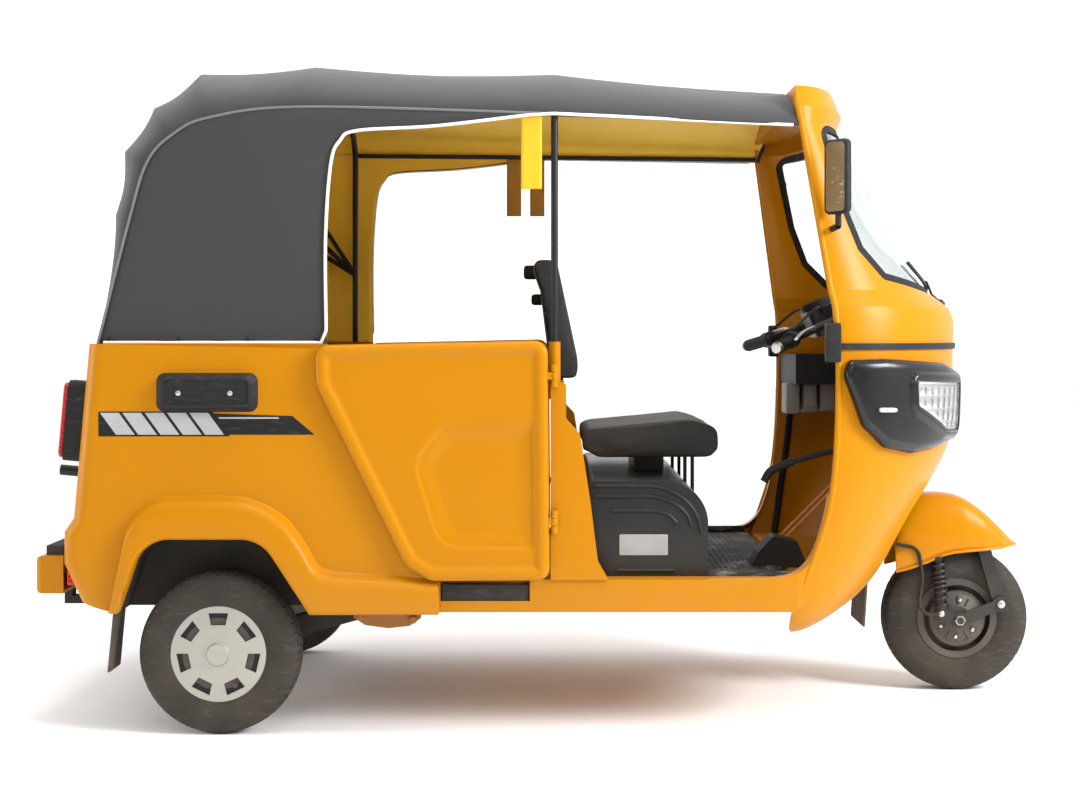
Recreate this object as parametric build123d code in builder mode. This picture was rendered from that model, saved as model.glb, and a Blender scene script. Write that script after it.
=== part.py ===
import math
import os

from build123d import *

os.makedirs("parts", exist_ok=True)

# Driving dimensions, millimetres and degrees. +X runs forward, +Y to the left, +Z up from the road.
overall_length = 2670
rear_overhang = 480
rear_track = 1150
tyre_radius = 205
tyre_width = 108
rim_radius = 102
body_half = 635
flare_out = 25
floor_height = 380
floor_thick = 35
belt_rise = 605
valance_rise = 1187
roof_rise = 1370
shell_wall = 25
panel_wall = 25
door_thick = 25
door_gap = 5
hood_wall = 8
tube_radius = 9
rake = 21.7
trail = 62
seal_width = 18
glass_thick = 5
close_gap = 0.3
run_gap = 0.05
lid_gap = 5
hinge_radius = 8
run_out = 80
well_reach = 400

# Shares of the wheelbase: front axle to door pillar, and rear axle to the front of the rear tub.
cab_share = 1140 / 1985
tub_share = 555 / 1985

# Anchors that the rest hangs from.
front_x = overall_length / 2 - tyre_radius
rear_x = rear_overhang - overall_length / 2
wheel_base = front_x - rear_x
axle_z = tyre_radius
rear_y = rear_track / 2
belt_z = floor_height + belt_rise
valance_z = floor_height + valance_rise
roof_z = floor_height + roof_rise
sill_low = floor_height - 70
sill_top = floor_height + 12
pillar_x = front_x - cab_share * wheel_base
shell_rear = front_x - 530
cab_room = shell_rear - pillar_x
sill_half = body_half - 10
hood_half = body_half - 35
screen_half = body_half - 120
door_inner = body_half + door_gap
door_outer = door_inner + door_thick


def save(part, name):
    part.label = name
    export_step(part, f"parts/{name}.step")


def right(depth):
    # Side-view sheet at y = -depth, drawn in X and Z; extruding goes further out to the right.
    return Plane.XZ.offset(depth)


def slab(x0, x1, y0, y1, z0, z1):
    # Solid box between two corners.
    with BuildPart() as block:
        with BuildSketch(Plane.XY.offset(z0)):
            with Locations(((x0 + x1) / 2, (y0 + y1) / 2)):
                Rectangle(x1 - x0, y1 - y0)
        extrude(amount=z1 - z0)
    return block.part


# Front shell stations: height over the floor, set-back of the rear edge and of the nose
# behind the front axle, set-in from the body's half width. Every level is half an ellipse bulging forward.
lower_stations = [
    (-140, 530, 440, 135),
    (-50, 530, 270, 35),
    (50, 494, 198, 23),
    (180, 452, 122, 21),
    (310, 434, 45, 20),
    (480, 427, 20, 21),
    (610, 428, 21, 28),
    (700, 433, 33, 40),
]
upper_stations = [(700, 433, 33, 40), (742, 442, 90, 55), (1181, 508, 355, 122)]
header_stations = [(1181, 508, 355, 122), (1220, 516, 338, 127), (1275, 516, 362, 155)]


def shell_form(stations, grow, back, ruled):
    # Lofted half-ellipse body; grow offsets its sides and back runs it out to the rear.
    with BuildPart() as form:
        for rise, set_rear, set_nose, set_in in stations:
            x_rear = front_x - set_rear
            half = body_half - set_in
            with BuildSketch(Plane.XY.offset(floor_height + rise)):
                with BuildLine():
                    bow = EllipticalCenterArc(
                        (x_rear, 0), set_rear - set_nose + grow, half + grow, start_angle=-90, arc_size=180
                    )
                    Polyline(bow @ 1, (x_rear - back, half + grow), (x_rear - back, -half - grow), bow @ 0)
                make_face()
        loft(ruled=ruled)
    return form.part


def shell_flat(stations, grow, ruled):
    # The same body with its rear face flush on the stations' rear edges.
    with BuildPart() as form:
        for rise, set_rear, set_nose, set_in in stations:
            x_rear = front_x - set_rear
            half = body_half - set_in
            with BuildSketch(Plane.XY.offset(floor_height + rise)):
                with BuildLine():
                    bow = EllipticalCenterArc(
                        (x_rear, 0), set_rear - set_nose + grow, half + grow, start_angle=-90, arc_size=180
                    )
                    Line(bow @ 1, bow @ 0)
                make_face()
        loft(ruled=ruled)
    return form.part


screen_low = floor_height + 770
screen_dip = 95
screen_top = floor_height + 1176
nose_far = front_x + 200

lower_outer = shell_flat(lower_stations, 0, False)
upper_outer = shell_flat(upper_stations, 0, True)
header_outer = shell_flat(header_stations, 0, True)
lower_inner = shell_form(lower_stations, -shell_wall, run_out, False)
upper_inner = shell_form(upper_stations, -shell_wall, run_out, True)
header_inner = shell_form(header_stations[:2], -shell_wall, run_out, True)

# Steering axis: it meets the road ahead of the axle by the trail and leans back by the rake.
lean = math.radians(rake)
crown_z = floor_height + 80
crown_x = front_x + trail - crown_z * math.tan(lean)
steer = Plane(
    origin=(crown_x, 0, crown_z),
    x_dir=(math.cos(lean), 0, math.sin(lean)),
    z_dir=(-math.sin(lean), 0, math.cos(lean)),
)
well_radius = 155
well_top = 106
well_wall = 5
head_radius = 30
stem_radius = 16
bar_rise = 635

# Windscreen aperture in side view, cut square across the shell.
screen_points = [
    (front_x - 458, screen_top),
    (front_x - 406, floor_height + 958),
    (front_x - 362, floor_height + 845),
    (front_x - 292, screen_low),
    (nose_far, screen_low - screen_dip),
    (nose_far, screen_top),
]
screen_round = 30


def screen_block(inset):
    # Side-view window block; the inset leaves room for the rubber.
    with BuildPart() as block:
        with BuildSketch(Plane.XZ):
            with BuildLine():
                FilletPolyline(screen_points, radius=screen_round, close=True)
            make_face()
            if inset > 0:
                offset(amount=-inset, mode=Mode.REPLACE)
        extrude(amount=body_half, both=True)
    return block.part


screen_full = screen_block(0)
screen_inner = screen_block(seal_width)

with BuildPart() as front_shell:
    add(lower_outer)
    add(upper_outer)
    add(header_outer)
    add(lower_inner & slab(0, nose_far, -body_half, body_half, floor_height, roof_z), mode=Mode.SUBTRACT)
    add(
        lower_inner & slab(0, nose_far, -body_half, body_half, 0, floor_height - floor_thick),
        mode=Mode.SUBTRACT,
    )
    add(upper_inner, mode=Mode.SUBTRACT)
    add(header_inner, mode=Mode.SUBTRACT)
    add(screen_full, mode=Mode.SUBTRACT)
    with BuildSketch(steer.offset(-well_reach)):
        Circle(well_radius)
    extrude(amount=well_reach + well_top, mode=Mode.SUBTRACT)
    with BuildSketch(steer.offset(well_top - 2)):
        Circle(head_radius + close_gap)
    extrude(amount=120, mode=Mode.SUBTRACT)
save(front_shell.part, "front_shell")

# Cup that lines the steering well, with the head tube standing on it.
with BuildPart() as steering_head:
    with BuildSketch(steer.offset(-well_reach)):
        Circle(well_radius - close_gap)
    extrude(amount=well_reach + well_top)
    with BuildSketch(steer.offset(-well_reach - 1)):
        Circle(well_radius - close_gap - well_wall)
    extrude(amount=well_reach + 1 + well_top - well_wall, mode=Mode.SUBTRACT)
    add(shell_form(lower_stations, -4, 10, False), mode=Mode.INTERSECT)
    with BuildSketch(steer.offset(well_top - 1)):
        Circle(head_radius)
    extrude(amount=400)
    with BuildSketch(steer.offset(well_top - 40)):
        Circle(stem_radius + run_gap)
    extrude(amount=500, mode=Mode.SUBTRACT)
save(steering_head.part, "steering_head")

# Windscreen and its rubber: slices of the same shell.
with BuildPart() as windshield_seal:
    add(shell_flat(upper_stations, -2, True))
    add(shell_form(upper_stations, -shell_wall + 2, run_out, True), mode=Mode.SUBTRACT)
    add(screen_full, mode=Mode.INTERSECT)
    add(screen_inner, mode=Mode.SUBTRACT)
save(windshield_seal.part, "windshield_seal")

with BuildPart() as windshield_glass:
    add(shell_flat(upper_stations, -8, True))
    add(shell_form(upper_stations, -8 - glass_thick, run_out, True), mode=Mode.SUBTRACT)
    add(screen_inner, mode=Mode.INTERSECT)
save(windshield_glass.part, "windshield_glass")

# Black strip round the nose.
lamp_core = shell_flat(lower_stations, close_gap, False)
strip_z = floor_height + 598
strip_high = 16
strip_thick = 6
with BuildPart() as shell_trim:
    add(shell_flat(lower_stations, strip_thick, False))
    add(lamp_core, mode=Mode.SUBTRACT)
    add(
        slab(shell_rear, nose_far, -door_outer, door_outer, strip_z - strip_high / 2, strip_z + strip_high / 2),
        mode=Mode.INTERSECT,
    )
save(shell_trim.part, "shell_trim")

# Headlamps: a black housing that wraps the front corner, with a clear lens let into it.
lamp_low = floor_height + 318
lamp_top = floor_height + 548
lamp_in = 185
lamp_deep = 30
lens_deep = 34
lens_back = 12
lamp_points = [
    (front_x - 402, lamp_top + 8),
    (front_x - 120, lamp_top + 4),
    (nose_far, lamp_top - 40),
    (nose_far, lamp_low + 6),
    (front_x - 200, lamp_low),
    (front_x - 304, lamp_low + 29),
    (front_x - 373, lamp_low + 118),
]
lens_points = [
    (front_x - 196, lamp_top - 38),
    (nose_far, lamp_top - 52),
    (nose_far, lamp_low + 40),
    (front_x - 95, lamp_low + 42),
    (front_x - 125, lamp_low + 82),
    (front_x - 182, lamp_low + 102),
]
lens_in = 215


def lamp_block(points, y_in, rounding):
    # Side-view outline of a lamp, run out through the right side of the nose.
    with BuildPart() as block:
        with BuildSketch(right(y_in)):
            with BuildLine():
                FilletPolyline(points, radius=rounding, close=True)
            make_face()
        extrude(amount=body_half)
    return block.part


lens_block = lamp_block(lens_points, lens_in, 25)
lamp_bed = shell_flat(lower_stations, lens_back, False)
with BuildPart() as headlamp_housings:
    add(shell_flat(lower_stations, lamp_deep, False))
    add(lamp_block(lamp_points, lamp_in, 30), mode=Mode.INTERSECT)
    add(lamp_core, mode=Mode.SUBTRACT)
    add(lens_block - lamp_bed, mode=Mode.SUBTRACT)
    mirror(about=Plane.XZ)
save(headlamp_housings.part, "headlamp_housings")

with BuildPart() as headlamp_lenses:
    add(shell_flat(lower_stations, lens_deep, False))
    add(lamp_block(lens_points, lens_in, 25), mode=Mode.INTERSECT)
    add(lamp_bed, mode=Mode.SUBTRACT)
    mirror(about=Plane.XZ)
save(headlamp_lenses.part, "headlamp_lenses")

# Floor with its sills. A notch in each sill takes the step below the door.
tub_front = rear_x + tub_share * wheel_base
floor_rear = rear_x + 270
step_x0 = tub_front + 3
step_x1 = tub_front + 228
step_low = floor_height - 42
step_in = body_half - 45
sill_in = body_half - 75
with BuildPart() as floor_pan:
    add(slab(floor_rear, shell_rear, -sill_in, sill_in, floor_height - floor_thick, floor_height))
    for side in (-1, 1):
        y_pair = sorted((side * sill_in, side * sill_half))
        add(slab(tub_front, shell_rear, y_pair[0], y_pair[1], sill_low, sill_top))
        y_cut = sorted((side * step_in, side * (body_half + 50)))
        add(slab(step_x0, step_x1, y_cut[0], y_cut[1], step_low, sill_top + 10), mode=Mode.SUBTRACT)
        y_rear = sorted((side * sill_in, side * (body_half - panel_wall)))
        add(slab(floor_rear, tub_front, y_rear[0], y_rear[1], floor_height - floor_thick, floor_height))
    add(lower_outer, mode=Mode.SUBTRACT)
save(floor_pan.part, "floor_pan")

with BuildPart() as side_steps:
    for side in (-1, 1):
        y_pair = sorted((side * step_in, side * (sill_half - 5)))
        add(slab(step_x0 + 4, step_x1 - 4, y_pair[0], y_pair[1], step_low, sill_top - 14))
save(side_steps.part, "side_steps")

# Rear tub: side walls and rear wall in one, with the wheel arches and the rear hatch cut out.
arch_points = [
    (rear_x - 250, 0),
    (rear_x - 250, sill_low),
    (rear_x - 185, sill_low + 188),
    (rear_x + 110, sill_low + 188),
    (rear_x + 233, sill_low),
    (rear_x + 233, 0),
]
arch_round = 95
tub_back = rear_x - 332
tub_points = [
    (tub_back, belt_z),
    (tub_back - 39, belt_z - 440),
    (tub_back - 63, belt_z - 475),
    (tub_back - 63, belt_z - 555),
    (tub_back - 18, sill_low + 25),
    (rear_x - 263, sill_low),
    (tub_front, sill_low),
    (tub_front, floor_height + 6),
    (rear_x + 490, floor_height + 60),
    (rear_x + 274, belt_z - 105),
    (rear_x + 268, belt_z - 12),
]
tub_corner = 45
flare_points = [
    (rear_x - 270, sill_low - 80),
    (rear_x - 222, sill_low + 215),
    (rear_x - 150, sill_low + 284),
    (rear_x + 70, sill_low + 284),
    (rear_x + 196, sill_low + 215),
    (rear_x + 262, sill_low + 98),
    (rear_x + 440, sill_low + 84),
    (tub_front + 6, sill_low + 72),
    (tub_front + 6, sill_low - 80),
]
flare_bevel = 18
tub_slope = math.atan2(39, 440)
hatch_half = 455
hatch_low = 60
hatch_high = 330
rear_face = Plane(
    origin=(tub_back - 39, 0, belt_z - 440),
    x_dir=(0, -1, 0),
    z_dir=(-math.cos(tub_slope), 0, math.sin(tub_slope)),
)
rim_flange = 30
rim_thick = 12

with BuildPart() as arch_cut:
    with BuildSketch(Plane.XZ):
        with BuildLine():
            FilletPolyline(arch_points, radius=[0, 0, arch_round, arch_round, 0, 0], close=True)
        make_face()
    extrude(amount=body_half + 100, both=True)

with BuildPart() as rear_tub:
    with BuildSketch(Plane.XZ):
        with BuildLine():
            Polyline(tub_points, close=True)
        make_face()
    extrude(amount=body_half, both=True)
    corner_edges = [
        edge
        for edge in rear_tub.edges()
        if edge.center().X < tub_back + 10 and abs(abs(edge.center().Y) - body_half) < 1
    ]
    fillet(corner_edges, radius=tub_corner)
    with BuildSketch(Plane.XZ):
        with BuildLine():
            Polyline(
                (tub_back + panel_wall, belt_z + 1),
                (tub_back - 39 + panel_wall, belt_z - 440),
                (tub_back - 63 + panel_wall, belt_z - 475),
                (tub_back - 63 + panel_wall, belt_z - 545),
                (tub_back - 18 + panel_wall, sill_low + 40),
                (tub_back - 18 + panel_wall, sill_low - 20),
                (tub_front + 50, sill_low - 20),
                (tub_front + 50, belt_z + 1),
                close=True,
            )
        make_face()
    extrude(amount=body_half - panel_wall, both=True, mode=Mode.SUBTRACT)
    for side in (-1, 1):
        y_pair = sorted((side * (hood_half - 20), side * (body_half - panel_wall + 1)))
        add(slab(tub_back + 5, rear_x + 268, y_pair[0], y_pair[1], belt_z - rim_thick, belt_z))
    add(
        slab(tub_back + 5, tub_back + panel_wall + rim_flange, -hood_half, hood_half, belt_z - rim_thick, belt_z)
    )
    for side in (-1, 1):
        with BuildSketch(right(-side * (body_half - 1))):
            with BuildLine():
                FilletPolyline(flare_points, radius=[0, 60, 60, 60, 60, 30, 30, 0, 0], close=True)
            make_face()
        with BuildSketch(right(-side * (body_half + flare_out))):
            with BuildLine():
                FilletPolyline(flare_points, radius=[0, 60, 60, 60, 60, 30, 30, 0, 0], close=True)
            make_face()
            offset(amount=-flare_bevel, mode=Mode.REPLACE)
        loft(ruled=True)
    add(slab(rear_x - 400, tub_front + 60, -body_half - 60, body_half + 60, 0, sill_low), mode=Mode.SUBTRACT)
    add(slab(tub_front, tub_front + 60, -body_half - 60, body_half + 60, 0, belt_z), mode=Mode.SUBTRACT)
    add(arch_cut.part, mode=Mode.SUBTRACT)
    with BuildSketch(rear_face.offset(-panel_wall - 60)):
        with Locations((0, (hatch_low + hatch_high) / 2)):
            RectangleRounded(2 * hatch_half + 2 * lid_gap, hatch_high - hatch_low + 2 * lid_gap, 40)
    extrude(amount=panel_wall + 120, mode=Mode.SUBTRACT)
save(rear_tub.part, "rear_tub")

# Inner housings over the rear wheels.
housing_wall = 8
housing_in = rear_y - tyre_width / 2 - 26
with BuildPart() as wheel_housings:
    with BuildSketch(right(housing_in)):
        with BuildLine():
            FilletPolyline(arch_points, radius=[0, 0, arch_round, arch_round, 0, 0], close=True)
        make_face()
        offset(amount=housing_wall, mode=Mode.REPLACE)
    extrude(amount=body_half - panel_wall - close_gap - housing_in)
    with BuildSketch(right(housing_in + housing_wall)):
        with BuildLine():
            FilletPolyline(arch_points, radius=[0, 0, arch_round, arch_round, 0, 0], close=True)
        make_face()
    extrude(amount=body_half, mode=Mode.SUBTRACT)
    add(slab(rear_x - 400, rear_x + 400, -body_half, 0, -50, sill_low), mode=Mode.SUBTRACT)
    mirror(about=Plane.XZ)
save(wheel_housings.part, "wheel_housings")

# Partition behind the driver with the pillar panels and the sockets for the pillar tubes.
pillar_in = body_half - 35
pillar_out = body_half - 3
socket_radius = 15
wall_x = pillar_x + 5
wall_thick = 20
wall_top = belt_z - 100 - close_gap
tube_y = hood_half - 25
with BuildPart() as partition:
    with BuildSketch(right(pillar_in)):
        with BuildLine():
            FilletPolyline(
                (pillar_x - 10, sill_top),
                (pillar_x - 10, belt_z - 99),
                (pillar_x + 29, belt_z - 99),
                (pillar_x + 29, belt_z - 189),
                (pillar_x + 64, belt_z - 227),
                (pillar_x + 89, belt_z - 388),
                (pillar_x + 109, belt_z - 547),
                (pillar_x + 135, sill_top),
                radius=[0, 8, 8, 12, 20, 60, 30, 0],
                close=True,
            )
        make_face()
    extrude(amount=pillar_out - pillar_in)
    with BuildSketch(Plane.XY.offset(belt_z - 140)):
        with Locations((pillar_x, -tube_y)):
            Circle(socket_radius)
    extrude(amount=145)
    with BuildSketch(Plane.XY.offset(belt_z - 60)):
        with Locations((pillar_x, -tube_y)):
            Circle(tube_radius + close_gap)
    extrude(amount=100, mode=Mode.SUBTRACT)
    add(slab(pillar_x - 12, pillar_x + 12, -pillar_in - 1, -tube_y, belt_z - 140, belt_z - 105))
    mirror(about=Plane.XZ)
    add(slab(wall_x, wall_x + wall_thick, -sill_in, sill_in, floor_height, sill_top))
    add(slab(wall_x, wall_x + wall_thick, -pillar_in, pillar_in, sill_top, wall_top))
save(partition.part, "partition")

# Fabric hood: half-elliptic bows, each given by its seam point, its crown point and its half width.
hood_bows = [
    (tub_back + 22, belt_z, tub_back, belt_z, hood_half),
    (tub_back + 102, belt_z + 315, tub_back - 3, belt_z + 345, hood_half),
    (tub_back + 147, belt_z + 460, tub_back + 9, belt_z + 520, hood_half),
    (tub_back + 212, valance_z - 52, tub_back + 90, roof_z - 115, hood_half),
    (tub_back + 307, valance_z - 9, tub_back + 215, roof_z - 18, hood_half),
    (tub_back + 547, valance_z + 17, tub_back + 532, roof_z, hood_half),
    (pillar_x, valance_z, pillar_x, roof_z - 20, hood_half),
    (shell_rear + 6, valance_z - 19, shell_rear + 10, roof_z - 70, screen_half),
]


def hood_form(thin):
    # Solid under the fabric's outer face, drawn in by the given thickness.
    with BuildPart() as form:
        for seam_x, seam_z, crown_px, crown_pz, half in hood_bows:
            rise = math.hypot(crown_px - seam_x, crown_pz - seam_z)
            up_x = (crown_px - seam_x) / rise
            up_z = (crown_pz - seam_z) / rise
            with BuildSketch(Plane(origin=(seam_x, 0, seam_z), x_dir=(0, 1, 0), z_dir=(up_z, 0, -up_x))):
                with BuildLine():
                    bow = EllipticalCenterArc((0, 0), half - thin, rise - thin, start_angle=0, arc_size=180)
                    Line(bow @ 1, bow @ 0)
                make_face()
        loft(ruled=True)
    return form.part


window_half = 300
window_low = belt_z + 95
window_top = belt_z + 295
with BuildPart() as window_cut:
    with BuildSketch(Plane.YZ.offset(tub_back - 60)):
        with Locations((0, (window_low + window_top) / 2)):
            RectangleRounded(2 * window_half, window_top - window_low, 40)
    extrude(amount=140)

with BuildPart() as hood_top:
    add(hood_form(0))
    add(hood_form(hood_wall), mode=Mode.SUBTRACT)
    add(window_cut.part, mode=Mode.SUBTRACT)
save(hood_top.part, "hood_top")

with BuildPart() as rear_window:
    add(hood_form(2))
    add(hood_form(hood_wall - 2), mode=Mode.SUBTRACT)
    add(window_cut.part, mode=Mode.INTERSECT)
save(rear_window.part, "rear_window")

with BuildPart() as hood_sides:
    with BuildSketch(right(hood_half - hood_wall)):
        with BuildLine():
            Polyline(
                [(bow[0], bow[1]) for bow in hood_bows[:7]]
                + [
                    (pillar_x - 62, valance_z - 3),
                    (pillar_x - 300, valance_z - 31),
                    (rear_x + 347, valance_z - 43),
                    (rear_x + 302, valance_z - 69),
                    (rear_x + 279, valance_z - 129),
                    (rear_x + 266, valance_z - 319),
                    (rear_x + 268, belt_z),
                ],
                close=True,
            )
        make_face()
    extrude(amount=hood_wall)
    mirror(about=Plane.XZ)
save(hood_sides.part, "hood_sides")

# Hood frame: main hoop, three bows that fan out from a pivot on it, roof rails and pillar tubes.
hoop_x = tub_back + 547
hoop_y = hood_half - 40
pivot_z = belt_z + 212
rail_z = valance_z + 3
bow_radius = 7


def tube(points, radius):
    # Round bar along straight runs.
    with BuildPart() as bar:
        with BuildLine() as path:
            Polyline(points)
        with BuildSketch(Plane(origin=path.line @ 0, z_dir=path.line % 0)):
            Circle(radius)
        sweep(path=path.line, transition=Transition.ROUND)
    return bar.part


def hoop(origin, up, half, rise, radius):
    # Half-elliptic round bar in the plane of Y and the given upward direction.
    with BuildPart() as bar:
        with BuildLine(Plane(origin=origin, x_dir=(0, 1, 0), z_dir=(up[1], 0, -up[0]))) as path:
            EllipticalCenterArc((0, 0), half, rise, start_angle=0, arc_size=180)
        with BuildSketch(Plane(origin=path.line @ 0, z_dir=path.line % 0)):
            Circle(radius)
        sweep(path=path.line)
    return bar.part


with BuildPart() as hood_frame:
    add(hoop((hoop_x, 0, valance_z - 10), (0, 1), hoop_y, roof_z - valance_z - 25, tube_radius))
    for side in (-1, 1):
        add(tube([(hoop_x, side * hoop_y, belt_z), (hoop_x, side * hoop_y, valance_z - 10)], tube_radius))
        add(tube([(pillar_x, side * tube_y, belt_z - 55), (pillar_x, side * tube_y, rail_z)], tube_radius))
        add(
            tube(
                [
                    (hoop_x, side * hoop_y, rail_z + 4),
                    (pillar_x, side * tube_y, rail_z),
                    (shell_rear + 21, side * (screen_half - 19.5), valance_z - 12),
                ],
                bow_radius,
            )
        )
    for seam_x, seam_z, crown_px, crown_pz, half in hood_bows[2:5]:
        rise = math.hypot(crown_px - seam_x, crown_pz - seam_z)
        up = ((crown_px - seam_x) / rise, (crown_pz - seam_z) / rise)
        add(hoop((seam_x, 0, seam_z), up, tube_y - 3, rise - 22, bow_radius))
        for side in (-1, 1):
            add(
                tube(
                    [
                        (hoop_x, side * hoop_y, pivot_z),
                        (seam_x + 6 * up[0], side * (tube_y - 3), seam_z + 6 * up[1]),
                    ],
                    bow_radius,
                )
            )
save(hood_frame.part, "hood_frame")

# Curtain straps that hang from the valance.
strap_thick = 4
strap_drop = 190
strap_y = hood_half - hood_wall - close_gap
strap_top = valance_z + 2
with BuildPart() as curtain_straps:
    add(slab(pillar_x - 85, pillar_x - 32, -strap_y, strap_thick - strap_y, valance_z - strap_drop, strap_top))
    for strap_x in (pillar_x - 151, pillar_x - 77):
        add(slab(strap_x, strap_x + 46, strap_y - strap_thick, strap_y, valance_z - strap_drop + 8, strap_top))
save(curtain_straps.part, "curtain_straps")

# Driver's seat on the box that hides tank and battery.
seat_x0 = pillar_x + 70
seat_x1 = pillar_x + 0.73 * cab_room
seat_half = 300
box_x0 = pillar_x + 90
box_x1 = pillar_x + 0.643 * cab_room
box_half = sill_in
box_high = 255
seat_low = floor_height + 296
seat_thick = 82
rod_radius = 5
with BuildPart() as driver_seat_base:
    with BuildSketch(Plane.XZ):
        with BuildLine():
            FilletPolyline(
                (box_x0, floor_height),
                (box_x0, floor_height + box_high),
                (box_x1, floor_height + box_high),
                (box_x1, floor_height),
                radius=[0, 15, 110, 0],
                close=True,
            )
        make_face()
    extrude(amount=box_half, both=True)
    add(slab(seat_x0 + 150, seat_x0 + 230, -200, 200, floor_height + box_high, seat_low))
    for side in (-1, 1):
        for rod_x in (box_x1 - 38, box_x1 - 18):
            with BuildSketch(Plane.XY.offset(floor_height + box_high - 120)):
                with Locations((rod_x, side * (seat_half - 40))):
                    Circle(rod_radius)
            extrude(amount=seat_low - floor_height - box_high + 120)
save(driver_seat_base.part, "driver_seat_base")

with BuildPart() as driver_cushion:
    with BuildSketch(Plane.XZ):
        with BuildLine():
            FilletPolyline(
                (seat_x0, seat_low + 22),
                (seat_x0 + 45, seat_low),
                (seat_x1 - 20, seat_low),
                (seat_x1, seat_low + 20),
                (seat_x1, seat_low + seat_thick),
                (seat_x1 - 60, seat_low + seat_thick + 22),
                (seat_x0, seat_low + seat_thick - 8),
                radius=[6, 6, 8, 20, 30, 40, 12],
                close=True,
            )
        make_face()
    extrude(amount=seat_half, both=True)
save(driver_cushion.part, "driver_cushion")

with BuildPart() as driver_backrest:
    with BuildSketch(Plane.XZ):
        with BuildLine():
            FilletPolyline(
                (pillar_x - 8, belt_z - 100),
                (pillar_x + 66, belt_z - 100),
                (pillar_x + 62, belt_z - 40),
                (pillar_x + 4, belt_z + 232),
                (pillar_x - 70, belt_z + 232),
                (pillar_x - 38, belt_z + 145),
                radius=[6, 16, 30, 20, 20, 40],
                close=True,
            )
        make_face()
    extrude(amount=230, both=True)
save(driver_backrest.part, "driver_backrest")

# Passenger bench.
bench_x0 = rear_x - 225
bench_x1 = rear_x + 295
bench_z = floor_height + 220
bench_wall = 12
bench_thick = 100
bench_half = body_half - 50
with BuildPart() as bench_base:
    add(slab(bench_x0, bench_x1, -housing_in, housing_in, floor_height, bench_z))
    add(
        slab(
            bench_x0 - 1,
            bench_x1 - bench_wall,
            -housing_in + bench_wall,
            housing_in - bench_wall,
            floor_height - 1,
            bench_z - bench_wall,
        ),
        mode=Mode.SUBTRACT,
    )
save(bench_base.part, "bench_base")

with BuildPart() as bench_cushion:
    with BuildSketch(Plane.XZ):
        with BuildLine():
            FilletPolyline(
                (bench_x0 + 40, bench_z),
                (bench_x1 + 15, bench_z),
                (bench_x1 + 25, bench_z + bench_thick),
                (bench_x0 + 40, bench_z + bench_thick - 20),
                radius=[8, 12, 35, 8],
                close=True,
            )
        make_face()
    extrude(amount=bench_half, both=True)
save(bench_cushion.part, "bench_cushion")


def bench_top(x):
    # Height of the bench cushion's sloping top.
    return bench_z + bench_thick - 20 + 20 * (x - bench_x0 - 40) / (bench_x1 - bench_x0 - 15)


with BuildPart() as bench_backrest:
    with BuildSketch(Plane.XZ):
        with BuildLine():
            FilletPolyline(
                (rear_x - 178, bench_top(rear_x - 178) + close_gap),
                (rear_x - 85, bench_top(rear_x - 85) + close_gap),
                (rear_x - 175, bench_z + bench_thick + 380),
                (rear_x - 262, bench_z + bench_thick + 380),
                radius=[10, 25, 35, 15],
                close=True,
            )
        make_face()
    extrude(amount=bench_half - 20, both=True)
save(bench_backrest.part, "bench_backrest")

# Chassis rails under the floor, the trailing-arm cross tube, the shock beam and the bumper brackets.
rail_in = 328
rail_out = 372
rail_low = floor_height - 85
rail_top = floor_height - floor_thick
arm_pivot_x = rear_x + 355
arm_pivot_z = rail_low + 5
arm_tube = 25
bumper_rear = rear_x - rear_overhang
bumper_deep = 72
bumper_low = floor_height - 32
bumper_high = 96
tow_radius = 11
tow_x = bumper_rear + 62
bracket_thick = 20
beam_x = rear_x + 55
beam_low = floor_height + 120
with BuildPart() as chassis_frame:
    for side in (-1, 1):
        y_pair = sorted((side * rail_in, side * rail_out))
        add(slab(tub_back + 10, shell_rear - 5, y_pair[0], y_pair[1], rail_low, rail_top))
        add(slab(bumper_rear + 25, tub_back + 60, y_pair[0], y_pair[1], rail_low, rail_low + bracket_thick))
        add(slab(bumper_rear + 25, bumper_rear + 45, y_pair[0], y_pair[1], rail_low, bumper_low))
        add(slab(beam_x - 20, beam_x + 20, y_pair[0], y_pair[1], rail_low, beam_low + 20))
    add(
        slab(
            beam_x - 20,
            beam_x + 20,
            -housing_in + bench_wall,
            housing_in - bench_wall,
            beam_low,
            beam_low + 40,
        )
    )
    with BuildSketch(Plane.XZ):
        with Locations((arm_pivot_x, arm_pivot_z)):
            Circle(arm_tube)
    extrude(amount=sill_in - 75, both=True)
    with BuildSketch(Plane.XY.offset(rail_low - 1)):
        with Locations((tow_x, -(rail_in + rail_out) / 2), (tow_x, (rail_in + rail_out) / 2)):
            Circle(tow_radius)
    extrude(amount=bracket_thick + 2, mode=Mode.SUBTRACT)
save(chassis_frame.part, "chassis_frame")

engine_half = 230
engine_low = 180
engine_top = floor_height + 90
with BuildPart() as engine_block:
    with BuildSketch(Plane.XZ):
        with BuildLine():
            FilletPolyline(
                (rear_x - 245, engine_low + 60),
                (rear_x - 180, engine_low),
                (rear_x + 100, engine_low),
                (rear_x + 165, engine_low + 60),
                (rear_x + 165, engine_top - 60),
                (rear_x + 100, engine_top),
                (rear_x - 245, engine_top),
                radius=20,
                close=True,
            )
        make_face()
    extrude(amount=engine_half, both=True)
    add(slab(rear_x - 110, rear_x - 40, -rail_in, rail_in, rail_low + 5, rail_top - 5))
save(engine_block.part, "engine_block")

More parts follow.
